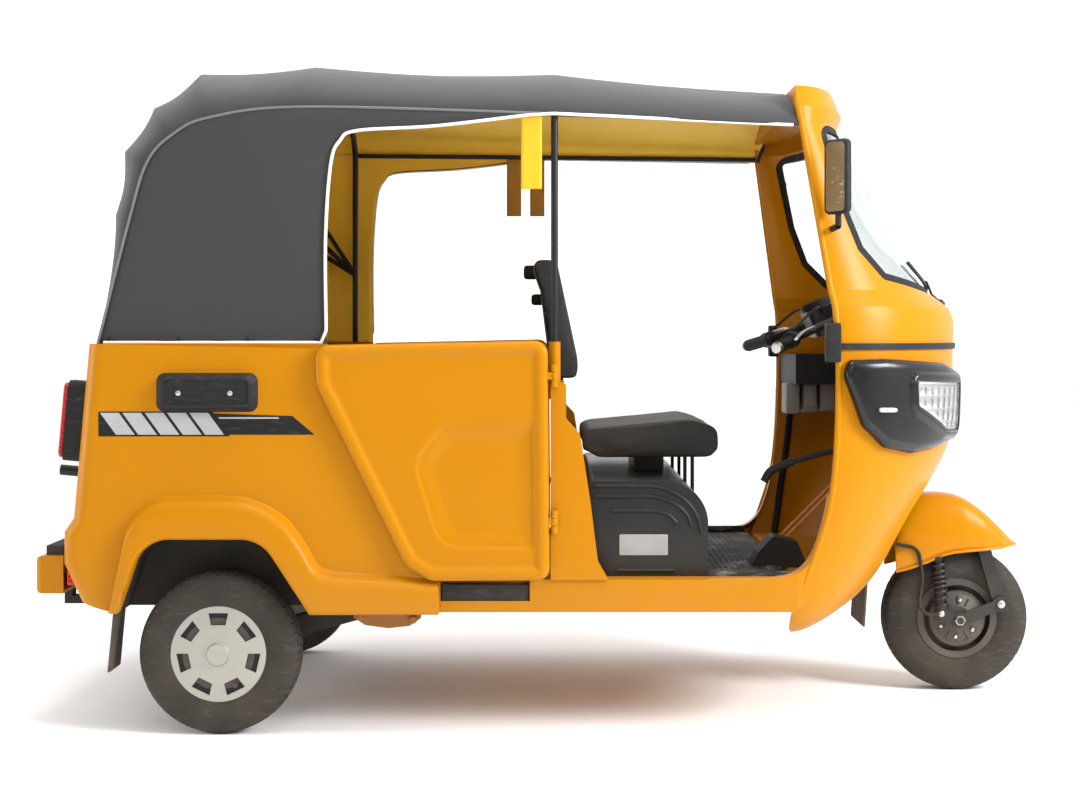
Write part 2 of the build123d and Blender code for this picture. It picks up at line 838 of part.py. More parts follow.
# Trailing arms with stub axles, drive shafts and shock absorbers.
arm_in = housing_in - 58
arm_out = housing_in - 15
stub_radius = 15
shaft_radius = 14
shock_radius = 20
shock_y = (arm_in + arm_out) / 2
with BuildPart() as rear_suspension:
    with BuildSketch(right(arm_in)):
        with BuildLine():
            Line((arm_pivot_x, arm_pivot_z), (rear_x, axle_z))
        trace(line_width=52)
        with Locations((arm_pivot_x, arm_pivot_z)):
            Circle(arm_tube + 14)
        with Locations((rear_x, axle_z)):
            Circle(42)
        with Locations((arm_pivot_x, arm_pivot_z)):
            Circle(arm_tube + run_gap, mode=Mode.SUBTRACT)
    extrude(amount=arm_out - arm_in)
    with BuildSketch(right(arm_out)):
        with Locations((rear_x, axle_z)):
            Circle(stub_radius)
    extrude(amount=rear_y + 22 - arm_out)
    with BuildSketch(right(engine_half)):
        with Locations((rear_x, axle_z)):
            Circle(shaft_radius)
    extrude(amount=arm_in - engine_half)
    with BuildSketch(Plane.XY.offset(axle_z + 10)):
        with Locations((beam_x, -shock_y)):
            Circle(shock_radius)
    extrude(amount=beam_low - axle_z - 10)
    mirror(about=Plane.XZ)
save(rear_suspension.part, "rear_suspension")

# Rear bumper, a channel open to the front, and the rubber pieces.
bumper_half = 560
bumper_wall = 6
with BuildPart() as rear_bumper:
    with BuildSketch(Plane.XZ):
        with Locations((bumper_rear + bumper_deep / 2, bumper_low + bumper_high / 2)):
            Rectangle(bumper_deep, bumper_high)
    extrude(amount=bumper_half, both=True)
    fillet(rear_bumper.faces().sort_by(Axis.X)[0].edges(), radius=18)
    add(
        slab(
            bumper_rear + bumper_wall,
            bumper_rear + bumper_deep + 1,
            -bumper_half + bumper_wall,
            bumper_half - bumper_wall,
            bumper_low + bumper_wall,
            bumper_low + bumper_high - bumper_wall,
        ),
        mode=Mode.SUBTRACT,
    )
save(rear_bumper.part, "rear_bumper")

flap_thick = 6
flap_low = 160
with BuildPart() as rubber_flaps:
    with BuildSketch(right(housing_in + 20)):
        with BuildLine():
            Polyline(
                (rear_x - 258, sill_low),
                (rear_x - 258 - flap_thick, sill_low),
                (rear_x - 272 - flap_thick, flap_low),
                (rear_x - 272, flap_low),
                close=True,
            )
        make_face()
    extrude(amount=body_half - 5 - housing_in - 20)
    mirror(about=Plane.XZ)
    add(
        slab(
            bumper_rear + 24,
            bumper_rear + bumper_deep - 4,
            -bumper_half + 20,
            bumper_half - 20,
            bumper_low + bumper_high,
            bumper_low + bumper_high + 24,
        )
    )
    with BuildSketch(right(-105)):
        with BuildLine():
            Polyline(
                (front_x - 262, floor_height + 20),
                (front_x - 262 + flap_thick, floor_height + 20),
                (front_x - 276 + flap_thick, floor_height - 190),
                (front_x - 276, floor_height - 190),
                close=True,
            )
        make_face()
    extrude(amount=210)
    add(shell_form(lower_stations, close_gap, 300, False), mode=Mode.SUBTRACT)
save(rubber_flaps.part, "rubber_flaps")

# Tail lamps on the rear wall.
tail_y = 545
tail_wide = 84
tail_low = 140
tail_high = 345
tail_deep = 46
with BuildPart() as tail_lamp_housings:
    with BuildSketch(rear_face.offset(close_gap)):
        with Locations((tail_y, (tail_low + tail_high) / 2)):
            RectangleRounded(tail_wide, tail_high - tail_low, 18)
    extrude(amount=tail_deep)
    mirror(about=Plane.XZ)
save(tail_lamp_housings.part, "tail_lamp_housings")

with BuildPart() as tail_lamp_lenses:
    with BuildSketch(rear_face.offset(close_gap + tail_deep)):
        with Locations((tail_y, (tail_low + tail_high) / 2)):
            RectangleRounded(tail_wide - 14, tail_high - tail_low - 14, 14)
    extrude(amount=14)
    fillet(tail_lamp_lenses.faces().sort_by(Axis.X)[0].edges(), radius=6)
    mirror(about=Plane.XZ)
save(tail_lamp_lenses.part, "tail_lamp_lenses")

# Air-intake covers on the quarter panels.
vent_x0 = rear_x - 154
vent_x1 = rear_x + 101
vent_low = belt_z - 171
vent_high = 98
vent_out = 24
with BuildPart() as side_vents:
    with BuildSketch(right(body_half)):
        with Locations(((vent_x0 + vent_x1) / 2, vent_low + vent_high / 2)):
            RectangleRounded(vent_x1 - vent_x0, vent_high, 22)
    with BuildSketch(right(body_half + vent_out)):
        with Locations(((vent_x0 + vent_x1) / 2, vent_low + vent_high / 2)):
            RectangleRounded(vent_x1 - vent_x0 - 44, vent_high - 40, 16)
    loft(ruled=True)
    mirror(about=Plane.XZ)
save(side_vents.part, "side_vents")

# Mirrors on the screen pillars.
mirror_x = front_x - 432
mirror_y = body_half - 35
mirror_z = floor_height + 1028
mirror_turn = 35
mirror_wide = 84
mirror_high = 190
mirror_deep = 22
mirror_arm = 8
mirror_face = Plane(
    origin=(mirror_x, -mirror_y, mirror_z),
    x_dir=(math.sin(math.radians(mirror_turn)), -math.cos(math.radians(mirror_turn)), 0),
    z_dir=(-math.cos(math.radians(mirror_turn)), -math.sin(math.radians(mirror_turn)), 0),
)
with BuildPart() as mirror_shells:
    with BuildSketch(mirror_face.offset(-mirror_deep)):
        RectangleRounded(mirror_wide, mirror_high, 16)
    extrude(amount=mirror_deep)
    fillet(mirror_shells.faces().sort_by(Axis.X)[-1].edges(), radius=8)
    add(
        tube(
            [
                (mirror_x + 10, -mirror_y + 4, mirror_z - mirror_high / 2 + 25),
                (mirror_x + 10, -mirror_y + 4, mirror_z - mirror_high / 2 - 30),
                (mirror_x - 4, -mirror_y + 75, mirror_z - mirror_high / 2 - 38),
            ],
            mirror_arm,
        )
    )
    with BuildSketch(mirror_face.offset(-4)):
        RectangleRounded(mirror_wide - 14, mirror_high - 14, 12)
    extrude(amount=10, mode=Mode.SUBTRACT)
    add(shell_form(upper_stations, close_gap, 300, True), mode=Mode.SUBTRACT)
    mirror(about=Plane.XZ)
save(mirror_shells.part, "mirror_shells")

with BuildPart() as mirror_glasses:
    with BuildSketch(mirror_face.offset(-4)):
        RectangleRounded(mirror_wide - 14, mirror_high - 14, 12)
    extrude(amount=2.5)
    mirror(about=Plane.XZ)
save(mirror_glasses.part, "mirror_glasses")

# Dashboard shelf under the screen and the glove box on the left.
dash_z = floor_height + 680
dash_thick = 25
with BuildPart() as dashboard:
    add(slab(front_x - 250, nose_far, -body_half, body_half, dash_z, dash_z + dash_thick))
    add(slab(front_x - 420, front_x - 270, 220, body_half, floor_height + 480, floor_height + 570))
    add(shell_form(lower_stations, -shell_wall - close_gap, run_out, False), mode=Mode.INTERSECT)
save(dashboard.part, "dashboard")

# Brake pedal on its mount and the parking brake lever.
with BuildPart() as foot_controls:
    with BuildSketch(right(200)):
        with BuildLine():
            FilletPolyline(
                (shell_rear - 82, floor_height),
                (shell_rear - 60, floor_height + 40),
                (shell_rear - 20, floor_height + 85),
                (shell_rear + 45, floor_height + 70),
                (shell_rear + 75, floor_height),
                radius=[0, 8, 12, 12, 0],
                close=True,
            )
        make_face()
    extrude(amount=95)
save(foot_controls.part, "foot_controls")

lever_z = floor_height + 300
head_lean_x = crown_x - (lever_z - crown_z) * math.tan(lean)
with BuildPart() as brake_lever:
    add(
        tube(
            [
                (shell_rear - 22, -130, lever_z - 75),
                (shell_rear + 8, -130, lever_z - 12),
                (head_lean_x - 40, -130, lever_z),
                (head_lean_x, -head_radius - 1, lever_z),
            ],
            8,
        )
    )
    add(
        steering_head.part,
        mode=Mode.SUBTRACT,
    )
save(brake_lever.part, "brake_lever")

# Fork, turning with the handlebar: stem, crown, legs, trailing links, axle and shock absorbers.
leg_in = 62
leg_thick = 12
link_in = leg_in + leg_thick
link_thick = 10
leg_wide = 36
axle_radius = 10
front_shock = 14
fork_pivot = (front_x + 116, axle_z + 45)
shock_foot = (front_x - 52, axle_z + 18)
with BuildPart() as fork:
    with BuildSketch(steer):
        Circle(stem_radius)
    extrude(amount=bar_rise)
    with BuildSketch(steer.offset(-12)):
        with Locations((30, 0)):
            RectangleRounded(130, 2 * link_in, 20)
    extrude(amount=24)
    with BuildSketch(right(leg_in)):
        with BuildLine():
            FilletPolyline(
                (crown_x + 40, crown_z + 16),
                (front_x + 62, crown_z - 22),
                fork_pivot,
                radius=55,
            )
        trace(line_width=leg_wide)
        with Locations(fork_pivot):
            Circle(24)
    extrude(amount=leg_thick)
    with BuildSketch(right(link_in)):
        with BuildLine():
            FilletPolyline(fork_pivot, (front_x, axle_z), shock_foot, radius=20)
        trace(line_width=30)
        with Locations(fork_pivot, (front_x, axle_z)):
            Circle(22)
        with Locations(shock_foot):
            Circle(15)
    extrude(amount=link_thick)
    mirror(about=Plane.XZ)
    with BuildSketch(Plane.XZ):
        with Locations((front_x, axle_z)):
            Circle(axle_radius)
    extrude(amount=link_in + link_thick + 14, both=True)
    for side in (-1, 1):
        shock_side = side * (leg_in + 12)
        add(
            tube(
                [
                    (shock_foot[0], shock_side, shock_foot[1]),
                    (front_x - 66, shock_side, crown_z + 4),
                ],
                front_shock,
            )
        )
save(fork.part, "fork")

# Handlebar with its grips and the instrument pod.
bar_radius = 11
grip_radius = 17
bar_plane = steer.offset(bar_rise)
bar_points = [(-205, -372), (-150, -250), (0, -130), (0, 130), (-150, 250), (-205, 372)]
with BuildPart() as handlebar:
    with BuildLine(bar_plane) as bar_path:
        FilletPolyline(bar_points, radius=50)
    with BuildSketch(Plane(origin=bar_path.line @ 0, z_dir=bar_path.line % 0)):
        Circle(bar_radius)
    sweep(path=bar_path.line)
    for side in (-1, 1):
        grip_end = bar_plane.from_local_coords(Vector(-205, side * 372, 0))
        grip_dir = bar_plane.from_local_coords(Vector(-150, side * 250, 0)) - grip_end
        with BuildSketch(Plane(origin=grip_end, z_dir=grip_dir)):
            Circle(grip_radius)
        extrude(amount=105)
    with BuildSketch(bar_plane.offset(-30)):
        RectangleRounded(120, 190, 30)
    extrude(amount=75)
    with BuildSketch(steer):
        Circle(stem_radius)
    extrude(amount=bar_rise, mode=Mode.SUBTRACT)
save(handlebar.part, "handlebar")

# Front mudguard, steering with the fork.
guard_half = 97
guard_wall = 6
guard_points = [
    (front_x - 181, sill_low + 31),
    (front_x - 190, crown_z - 10),
    (front_x - 165, crown_z + 70),
    (front_x - 110, crown_z + 100),
    (front_x + 35, crown_z + 98),
    (front_x + 177, crown_z - 48),
    (front_x - 23, crown_z - 67),
]
with BuildPart() as front_mudguard:
    with BuildSketch(Plane.XZ):
        with BuildLine():
            FilletPolyline(guard_points, radius=[4, 30, 45, 70, 200, 4, 80], close=True)
        make_face()
    extrude(amount=guard_half, both=True)
    with BuildSketch(Plane.XZ):
        with BuildLine():
            FilletPolyline(
                (front_x - 181 + guard_wall, sill_low - 40),
                (front_x - 190 + guard_wall, crown_z - 10),
                (front_x - 165 + guard_wall, crown_z + 70 - guard_wall),
                (front_x - 108, crown_z + 100 - guard_wall),
                (front_x + 33, crown_z + 98 - guard_wall),
                (front_x + 177 - 2 * guard_wall, crown_z - 48 - guard_wall),
                (front_x + 160, sill_low - 40),
                radius=[0, 24, 39, 64, 194, 0, 0],
                close=True,
            )
        make_face()
    extrude(amount=guard_half - guard_wall, both=True, mode=Mode.SUBTRACT)
    with BuildSketch(steer):
        Circle(stem_radius + close_gap)
    extrude(amount=bar_rise, mode=Mode.SUBTRACT)
save(front_mudguard.part, "front_mudguard")

# Brake hose clipped to the mudguard's right side and down to the brake plate.
hose_radius = 5
hose_y = -guard_half - hose_radius - close_gap
with BuildPart() as brake_hose:
    with BuildLine() as hose_path:
        FilletPolyline(
            (front_x - 180, hose_y, crown_z - 40),
            (front_x - 120, hose_y, crown_z - 50),
            (front_x - 108, hose_y, crown_z - 130),
            (front_x - 118, hose_y, axle_z + 45),
            (front_x - 100, hose_y, axle_z + 20),
            (front_x - 62, hose_y, axle_z + 18),
            radius=[34, 80, 25, 22],
        )
    with BuildSketch(Plane(origin=hose_path.line @ 0, z_dir=hose_path.line % 0)):
        Circle(hose_radius)
    sweep(path=hose_path.line)
save(brake_hose.part, "brake_hose")

# Wheels. The section is drawn over the hub and turned about the axle.
bead_half = 42
tyre_profile = [
    (-bead_half, rim_radius),
    (-bead_half, rim_radius + 12),
    (-tyre_width / 2 + 2, rim_radius + 33),
    (-tyre_width / 2, rim_radius + 58),
    (-tyre_width / 2 + 15, tyre_radius - 1.5),
    (tyre_width / 2 - 15, tyre_radius - 1.5),
    (tyre_width / 2, rim_radius + 58),
    (tyre_width / 2 - 2, rim_radius + 33),
    (bead_half, rim_radius + 12),
    (bead_half, rim_radius),
]


def tyre(x, y):
    # Tyre about its axle, with a shallow crown.
    with BuildPart() as ring:
        with BuildSketch(Plane.YZ.offset(x)):
            with BuildLine():
                outline = [(y + py, axle_z + pz) for py, pz in tyre_profile]
                Polyline(outline[5:] + outline[:5])
                ThreePointArc(outline[4], (y, axle_z + tyre_radius), outline[5])
            make_face()
        revolve(axis=Axis((x, 0, axle_z), (0, 1, 0)))
    return ring.part


slot_ring = 88
slot_count = 7
slot_wide = 50
slot_deep = 30


def rim(x, y, out, bore, cover):
    # Pressed steel wheel; a cover adds the slotted disc on the outer side.
    with BuildPart() as wheel:
        with BuildSketch(Plane.YZ.offset(x)):
            with BuildLine():
                Polyline(
                    (y - 48, axle_z + 94),
                    (y - 48, axle_z + 112),
                    (y - bead_half - close_gap, axle_z + 112),
                    (y - bead_half - close_gap, axle_z + rim_radius - close_gap),
                    (y + bead_half + close_gap, axle_z + rim_radius - close_gap),
                    (y + bead_half + close_gap, axle_z + 112),
                    (y + 48, axle_z + 112),
                    (y + 48, axle_z + 94),
                    close=True,
                )
            make_face()
            with BuildLine():
                Polyline(
                    (y - 30, axle_z + bore),
                    (y - 30, axle_z + 36),
                    (y - 8, axle_z + 40),
                    (y - 8, axle_z + 96),
                    (y + 8, axle_z + 96),
                    (y + 8, axle_z + 40),
                    (y + 30, axle_z + 36),
                    (y + 30, axle_z + bore),
                    close=True,
                )
            make_face()
            if cover:
                with BuildLine():
                    Polyline(
                        (y + out * 48, axle_z + 94),
                        (y + out * 48, axle_z + 120),
                        (y + out * 51, axle_z + 120),
                        (y + out * 56, axle_z + 66),
                        (y + out * 58, axle_z + 30),
                        (y + out * 66, axle_z + 26),
                        (y + out * 66, axle_z),
                        (y + out * 62, axle_z),
                        (y + out * 62, axle_z + 22),
                        (y + out * 54, axle_z + 28),
                        (y + out * 52, axle_z + 66),
                        close=True,
                    )
                make_face()
        revolve(axis=Axis((x, 0, axle_z), (0, 1, 0)))
        if cover:
            with BuildSketch(right(-(y + out * 48.5))):
                with Locations((x, axle_z)):
                    with PolarLocations(slot_ring, slot_count, start_angle=90):
                        Trapezoid(slot_wide, slot_deep, 78, rotation=90)
            extrude(amount=-out * 30, mode=Mode.SUBTRACT)
    return wheel.part


save(tyre(front_x, 0), "front_tyre")
save(rim(front_x, 0, -1, axle_radius + run_gap, False), "front_rim")

for wheel_name, wheel_y in (("right", -rear_y), ("left", rear_y)):
    wheel_out = math.copysign(1, wheel_y)
    save(tyre(rear_x, wheel_y), f"rear_tyre_{wheel_name}")
    save(rim(rear_x, wheel_y, wheel_out, stub_radius + run_gap, True), f"rear_rim_{wheel_name}")

# Passenger doors, hinged on pins at their front edge.
pin_x = pillar_x
pin_y = door_outer - 10
pin_radius = 4
knuckle = 18
hinge_heights = (belt_z - 80, belt_z - 445)
door_rim = 26
door_step = 6
door_dish = 6
door_points = [
    (rear_x + 246, belt_z - 3),
    (pillar_x - 17, belt_z + 9),
    (pillar_x - 12, floor_height + 14),
    (rear_x + 534, floor_height + 12),
    (rear_x + 471, floor_height + 52),
    (rear_x + 249, belt_z - 103),
]
dish_points = [
    (pillar_x - 50, belt_z - 196),
    (rear_x + 565, belt_z - 196),
    (rear_x + 497, belt_z - 300),
    (rear_x + 565, belt_z - 516),
    (pillar_x - 50, belt_z - 516),
]
with BuildPart() as door_right:
    with BuildSketch(right(door_inner)):
        with BuildLine():
            FilletPolyline(door_points, radius=[35, 35, 30, 40, 60, 60], close=True)
        make_face()
    extrude(amount=door_thick)
    fillet(door_right.faces().sort_by(Axis.Y)[0].edges(), radius=5)
    with BuildSketch(right(door_outer)):
        with BuildLine():
            FilletPolyline(door_points, radius=[35, 35, 30, 40, 60, 60], close=True)
        make_face()
        offset(amount=-door_rim, mode=Mode.REPLACE)
    extrude(amount=-door_step, mode=Mode.SUBTRACT)
    with BuildSketch(right(door_outer - door_step)):
        with BuildLine():
            FilletPolyline(dish_points, radius=[40, 60, 80, 60, 40], close=True)
        make_face()
    extrude(amount=-door_dish, taper=40, mode=Mode.SUBTRACT)
    for hinge_z in hinge_heights:
        add(slab(pin_x - 40, pin_x, -pin_y - 5, -pin_y + 5, hinge_z - knuckle / 2, hinge_z + knuckle / 2))
        with BuildSketch(Plane.XY.offset(hinge_z - knuckle / 2)):
            with Locations((pin_x, -pin_y)):
                Circle(hinge_radius)
        extrude(amount=knuckle)
        with BuildSketch(Plane.XY.offset(hinge_z - knuckle / 2)):
            with Locations((pin_x, -pin_y)):
                Circle(pin_radius + run_gap)
        extrude(amount=knuckle, mode=Mode.SUBTRACT)
save(door_right.part, "door_right")

with BuildPart() as door_left:
    add(door_right.part)
    mirror(about=Plane.XZ, mode=Mode.REPLACE)
save(door_left.part, "door_left")

# Hinge leaves on the pillar panels, each with its pin.
with BuildPart() as door_hinges:
    for hinge_z in hinge_heights:
        with BuildSketch(Plane.XY.offset(hinge_z - 1.5 * knuckle - 1)):
            with Locations((pin_x, -pin_y)):
                Circle(pin_radius)
        extrude(amount=3 * knuckle + 2)
        for leaf_z in (hinge_z - 1.5 * knuckle - 1, hinge_z + 0.5 * knuckle + 1):
            with BuildSketch(Plane.XY.offset(leaf_z)):
                with Locations((pin_x, -pin_y)):
                    Circle(hinge_radius)
                with Locations((pin_x + 1, -(pin_y + pillar_out) / 2)):
                    Rectangle(14, pin_y - pillar_out)
            extrude(amount=knuckle)
    mirror(about=Plane.XZ)
save(door_hinges.part, "door_hinges")

# Rear hatch, hinged along its top edge outside the rear wall.
hatch_pin = 3
hatch_barrel = 6
hatch_out = 8
hatch_axis = hatch_high + lid_gap / 2
hatch_hinge_y = 300
hatch_knuckle = 60
with BuildPart() as rear_lid:
    with BuildSketch(rear_face):
        with Locations((0, (hatch_low + hatch_high) / 2)):
            RectangleRounded(2 * hatch_half, hatch_high - hatch_low, 36)
    extrude(amount=-panel_wall)
    with BuildSketch(rear_face):
        with Locations((0, (hatch_low + hatch_high) / 2)):
            RectangleRounded(2 * hatch_half - 120, hatch_high - hatch_low - 90, 30)
    extrude(amount=6, taper=40)
    for side in (-1, 1):
        hinge_side = Plane(
            origin=rear_face.from_local_coords(Vector(side * hatch_hinge_y - hatch_knuckle / 2, 0, 0)),
            x_dir=rear_face.y_dir,
            z_dir=rear_face.x_dir,
        )
        with BuildSketch(hinge_side):
            with Locations((hatch_axis, hatch_out)):
                Circle(hatch_barrel)
            with BuildLine():
                Polyline(
                    (hatch_axis - 40, 0),
                    (hatch_axis - 40, hatch_out - 3),
                    (hatch_axis, hatch_out - hatch_barrel + 8),
                    (hatch_axis, hatch_out - hatch_barrel),
                    (hatch_axis - 8, 0),
                    close=True,
                )
            make_face()
        extrude(amount=hatch_knuckle)
        with BuildSketch(hinge_side):
            with Locations((hatch_axis, hatch_out)):
                Circle(hatch_pin + run_gap)
        extrude(amount=hatch_knuckle, mode=Mode.SUBTRACT)
save(rear_lid.part, "rear_lid")

with BuildPart() as hatch_hinges:
    for side in (-1, 1):
        pin_side = Plane(
            origin=rear_face.from_local_coords(Vector(side * hatch_hinge_y - hatch_knuckle / 2 - 22, 0, 0)),
            x_dir=rear_face.y_dir,
            z_dir=rear_face.x_dir,
        )
        with BuildSketch(pin_side):
            with Locations((hatch_axis, hatch_out)):
                Circle(hatch_pin)
        extrude(amount=hatch_knuckle + 44)
        for leaf in (0, hatch_knuckle + 24):
            with BuildSketch(pin_side.offset(leaf)):
                with Locations((hatch_axis, hatch_out)):
                    Circle(hatch_barrel)
                with BuildLine():
                    Polyline(
                        (hatch_axis, hatch_out - hatch_barrel + 1),
                        (hatch_axis, hatch_out + hatch_barrel - 1),
                        (hatch_axis + 36, 6),
                        (hatch_axis + 36, close_gap),
                        (hatch_axis + 6, close_gap),
                        close=True,
                    )
                make_face()
            extrude(amount=20)
save(hatch_hinges.part, "hatch_hinges")

# Plate holder with two screw holes, plate lamp stalk and latches on the hatch.
plate_half = 170
plate_z = belt_z - 285
plate_x = tub_back - 52
plate_hole = 4
plate_span = 200
latch_y = hatch_half - 45
latch_deep = 22
latch_wide = 44
stalk_long = 92
stalk_radius = 14
with BuildPart() as hatch_fittings:
    add(slab(plate_x, tub_back, -plate_half, plate_half, plate_z - 50, plate_z + 50))
    with BuildSketch(rear_face.offset(6 + close_gap)):
        Rectangle(2000, 2000)
    extrude(amount=-400, mode=Mode.SUBTRACT)
    with BuildSketch(Plane.YZ.offset(plate_x - 1)):
        with Locations((-plate_span / 2, plate_z), (plate_span / 2, plate_z)):
            Circle(plate_hole)
    extrude(amount=13, mode=Mode.SUBTRACT)
    for side in (-1, 1):
        latch_side = Plane(
            origin=rear_face.from_local_coords(Vector(side * latch_y - latch_wide / 2, 0, 0)),
            x_dir=rear_face.y_dir,
            z_dir=rear_face.x_dir,
        )
        with BuildSketch(latch_side):
            with BuildLine():
                Polyline(
                    (hatch_low - 58, lid_gap),
                    (hatch_low - 58, latch_deep),
                    (hatch_low + 18, latch_deep),
                    (hatch_low + 18, close_gap),
                    (hatch_low + 4, close_gap),
                    (hatch_low + 4, lid_gap),
                    close=True,
                )
            make_face()
        extrude(amount=latch_wide)
        with BuildSketch(rear_face.offset(close_gap)):
            with Locations((side * latch_y, hatch_low + 40)):
                Circle(stalk_radius)
        extrude(amount=stalk_long)
save(hatch_fittings.part, "hatch_fittings")
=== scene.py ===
import math

import bmesh
import bpy
import numpy as np
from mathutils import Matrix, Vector


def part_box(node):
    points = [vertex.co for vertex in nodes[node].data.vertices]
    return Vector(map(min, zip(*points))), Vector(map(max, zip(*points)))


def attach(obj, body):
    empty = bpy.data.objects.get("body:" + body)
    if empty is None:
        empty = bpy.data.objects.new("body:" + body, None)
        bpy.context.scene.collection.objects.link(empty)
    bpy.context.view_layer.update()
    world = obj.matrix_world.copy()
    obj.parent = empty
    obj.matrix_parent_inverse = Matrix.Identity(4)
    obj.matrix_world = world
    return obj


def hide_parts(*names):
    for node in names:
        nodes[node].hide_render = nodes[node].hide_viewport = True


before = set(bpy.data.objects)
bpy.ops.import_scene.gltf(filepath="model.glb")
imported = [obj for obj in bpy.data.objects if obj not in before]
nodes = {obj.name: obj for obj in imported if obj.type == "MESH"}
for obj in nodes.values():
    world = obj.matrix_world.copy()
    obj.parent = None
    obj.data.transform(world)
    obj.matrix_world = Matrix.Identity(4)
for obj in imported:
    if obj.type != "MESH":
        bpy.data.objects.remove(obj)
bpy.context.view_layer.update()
print("frame loaded with", len(nodes), "nodes")


# Mesh tools. Every shape is a grid of points or a profile carried along a path.


def unit(v):
    # vectors brought to length one
    v = np.asarray(v, float)
    return v / np.maximum(np.linalg.norm(v, axis=-1, keepdims=True), 1e-9)


def gridFaces(rows, cols, closeRows=False, closeCols=False):
    # quads between neighbouring rows and columns, wrapping where a direction is closed
    i = np.arange(rows if closeRows else rows - 1)[:, None]
    j = np.arange(cols if closeCols else cols - 1)[None, :]
    nextI = (i + 1) % rows
    nextJ = (j + 1) % cols
    corners = (i * cols + j, nextI * cols + j, nextI * cols + nextJ, i * cols + nextJ)
    return np.stack(np.broadcast_arrays(*corners), -1).reshape(-1, 4)


def circle(radius, count=12):
    # points of a round outline
    a = np.linspace(0, 2 * np.pi, count, endpoint=False)
    return np.stack([np.cos(a), np.sin(a)], 1) * radius


def roundRect(width, height, corner, perCorner=4):
    # outline of a rectangle with its four corners turned on quarter circles
    a = np.linspace(0, np.pi / 2, perCorner)
    turns = np.concatenate([a, a + np.pi / 2, a + np.pi, a + 1.5 * np.pi])
    signs = np.repeat([[1, 1], [-1, 1], [-1, -1], [1, -1]], perCorner, axis=0)
    middle = signs * np.array([width / 2 - corner, height / 2 - corner])
    return middle + corner * np.stack([np.cos(turns), np.sin(turns)], 1)


def curveThrough(points, perSpan=10):
    # Catmull-Rom curve: each span blends its two ends with slopes taken from their neighbours
    p = np.asarray(points, float)
    q = np.vstack([2 * p[0] - p[1], p, 2 * p[-1] - p[-2]])
    t = np.linspace(0, 1, perSpan, endpoint=False)[None, :, None]
    a, b, c, d = (q[k : len(q) - 3 + k, None] for k in range(4))
    spans = 0.5 * (2 * b + (c - a) * t + (2 * a - 5 * b + 4 * c - d) * t**2 + (3 * b - a - 3 * c + d) * t**3)
    return np.vstack([spans.reshape(-1, p.shape[1]), p[-1]])


def evenPath(points, count):
    # straight runs cut again into equal steps of length
    p = np.asarray(points, float)
    length = np.concatenate([[0], np.cumsum(np.linalg.norm(np.diff(p, axis=0), axis=1))])
    at = np.linspace(0, length[-1], count)
    return np.stack([np.interp(at, length, p[:, k]) for k in range(p.shape[1])], 1)


def sweep(path, outline, up=(0, 0, 1), closed=False):
    # profile carried along a path: the outline stands square to the path at every point,
    # first axis along tangent x up, second along the rest; both ends shrink to a point
    path = np.asarray(path, float)
    outline = np.asarray(outline, float)
    around = np.roll(path, -1, 0) - np.roll(path, 1, 0)
    tangent = unit(around if closed else np.gradient(path, axis=0))
    side = unit(np.cross(tangent, np.asarray(up, float)))
    lift = np.cross(side, tangent)
    ring = path[:, None] + side[:, None] * outline[None, :, :1] + lift[:, None] * outline[None, :, 1:]
    if not closed:
        first = np.broadcast_to(path[:1, None], ring[:1].shape)
        last = np.broadcast_to(path[-1:, None], ring[:1].shape)
        ring = np.concatenate([first, ring, last])
    return ring.reshape(-1, 3), gridFaces(len(ring), len(outline), closed, True)


def lathe(profile, origin, axis, sides=32):
    # profile rows (along, radius) turned about the axis through the origin
    profile = np.asarray(profile, float)
    axis = unit(axis)
    across = np.array([0.0, 0.0, 1.0]) if abs(axis[2]) < 0.9 else np.array([1.0, 0.0, 0.0])
    first = unit(np.cross(axis, across))
    second = np.cross(axis, first)
    a = np.linspace(0, 2 * np.pi, sides, endpoint=False)
    ring = np.cos(a)[:, None] * first + np.sin(a)[:, None] * second
    points = np.asarray(origin, float) + profile[:, None, :1] * axis + profile[:, None, 1:] * ring[None]
    return points.reshape(-1, 3), gridFaces(len(profile), sides, False, True)


def roundBlock(low, high, square=0.25, rows=14, cols=28):
    # superellipsoid between two corners: signed powers of sine and cosine, squarer as the power falls
    low, high = np.asarray(low, float), np.asarray(high, float)
    v = np.linspace(-np.pi / 2, np.pi / 2, rows)[:, None]
    u = np.linspace(-np.pi, np.pi, cols, endpoint=False)[None, :]
    cosV, sinV, cosU, sinU = np.cos(v), np.sin(v), np.cos(u), np.sin(u)
    power = lambda w: np.sign(w) * np.abs(np.where(np.abs(w) < 1e-9, 0, w)) ** square
    shape = np.stack(
        np.broadcast_arrays(power(cosV) * power(cosU), power(cosV) * power(sinU), power(sinV) + 0 * u), -1
    )
    return ((low + high) / 2 + shape * (high - low) / 2).reshape(-1, 3), gridFaces(rows, cols, False, True)


def mirrorY(part):
    # the same grid on the left side, its faces turned so that they still point outwards
    verts, faces = part
    return verts * np.array([1, -1, 1]), faces[:, ::-1]


def evenLoop(ring, count):
    # closed ring walked at equal steps
    return evenPath(np.vstack([ring, ring[:1]]), count + 1)[:-1]


def atDepth(flat, y):
    # side-view points set at one distance across
    return np.column_stack([flat[:, 0], np.full(len(flat), y), flat[:, 1]])


def paired(parts):
    # grids of the right side with their images on the left
    return parts + [mirrorY(part) for part in parts]


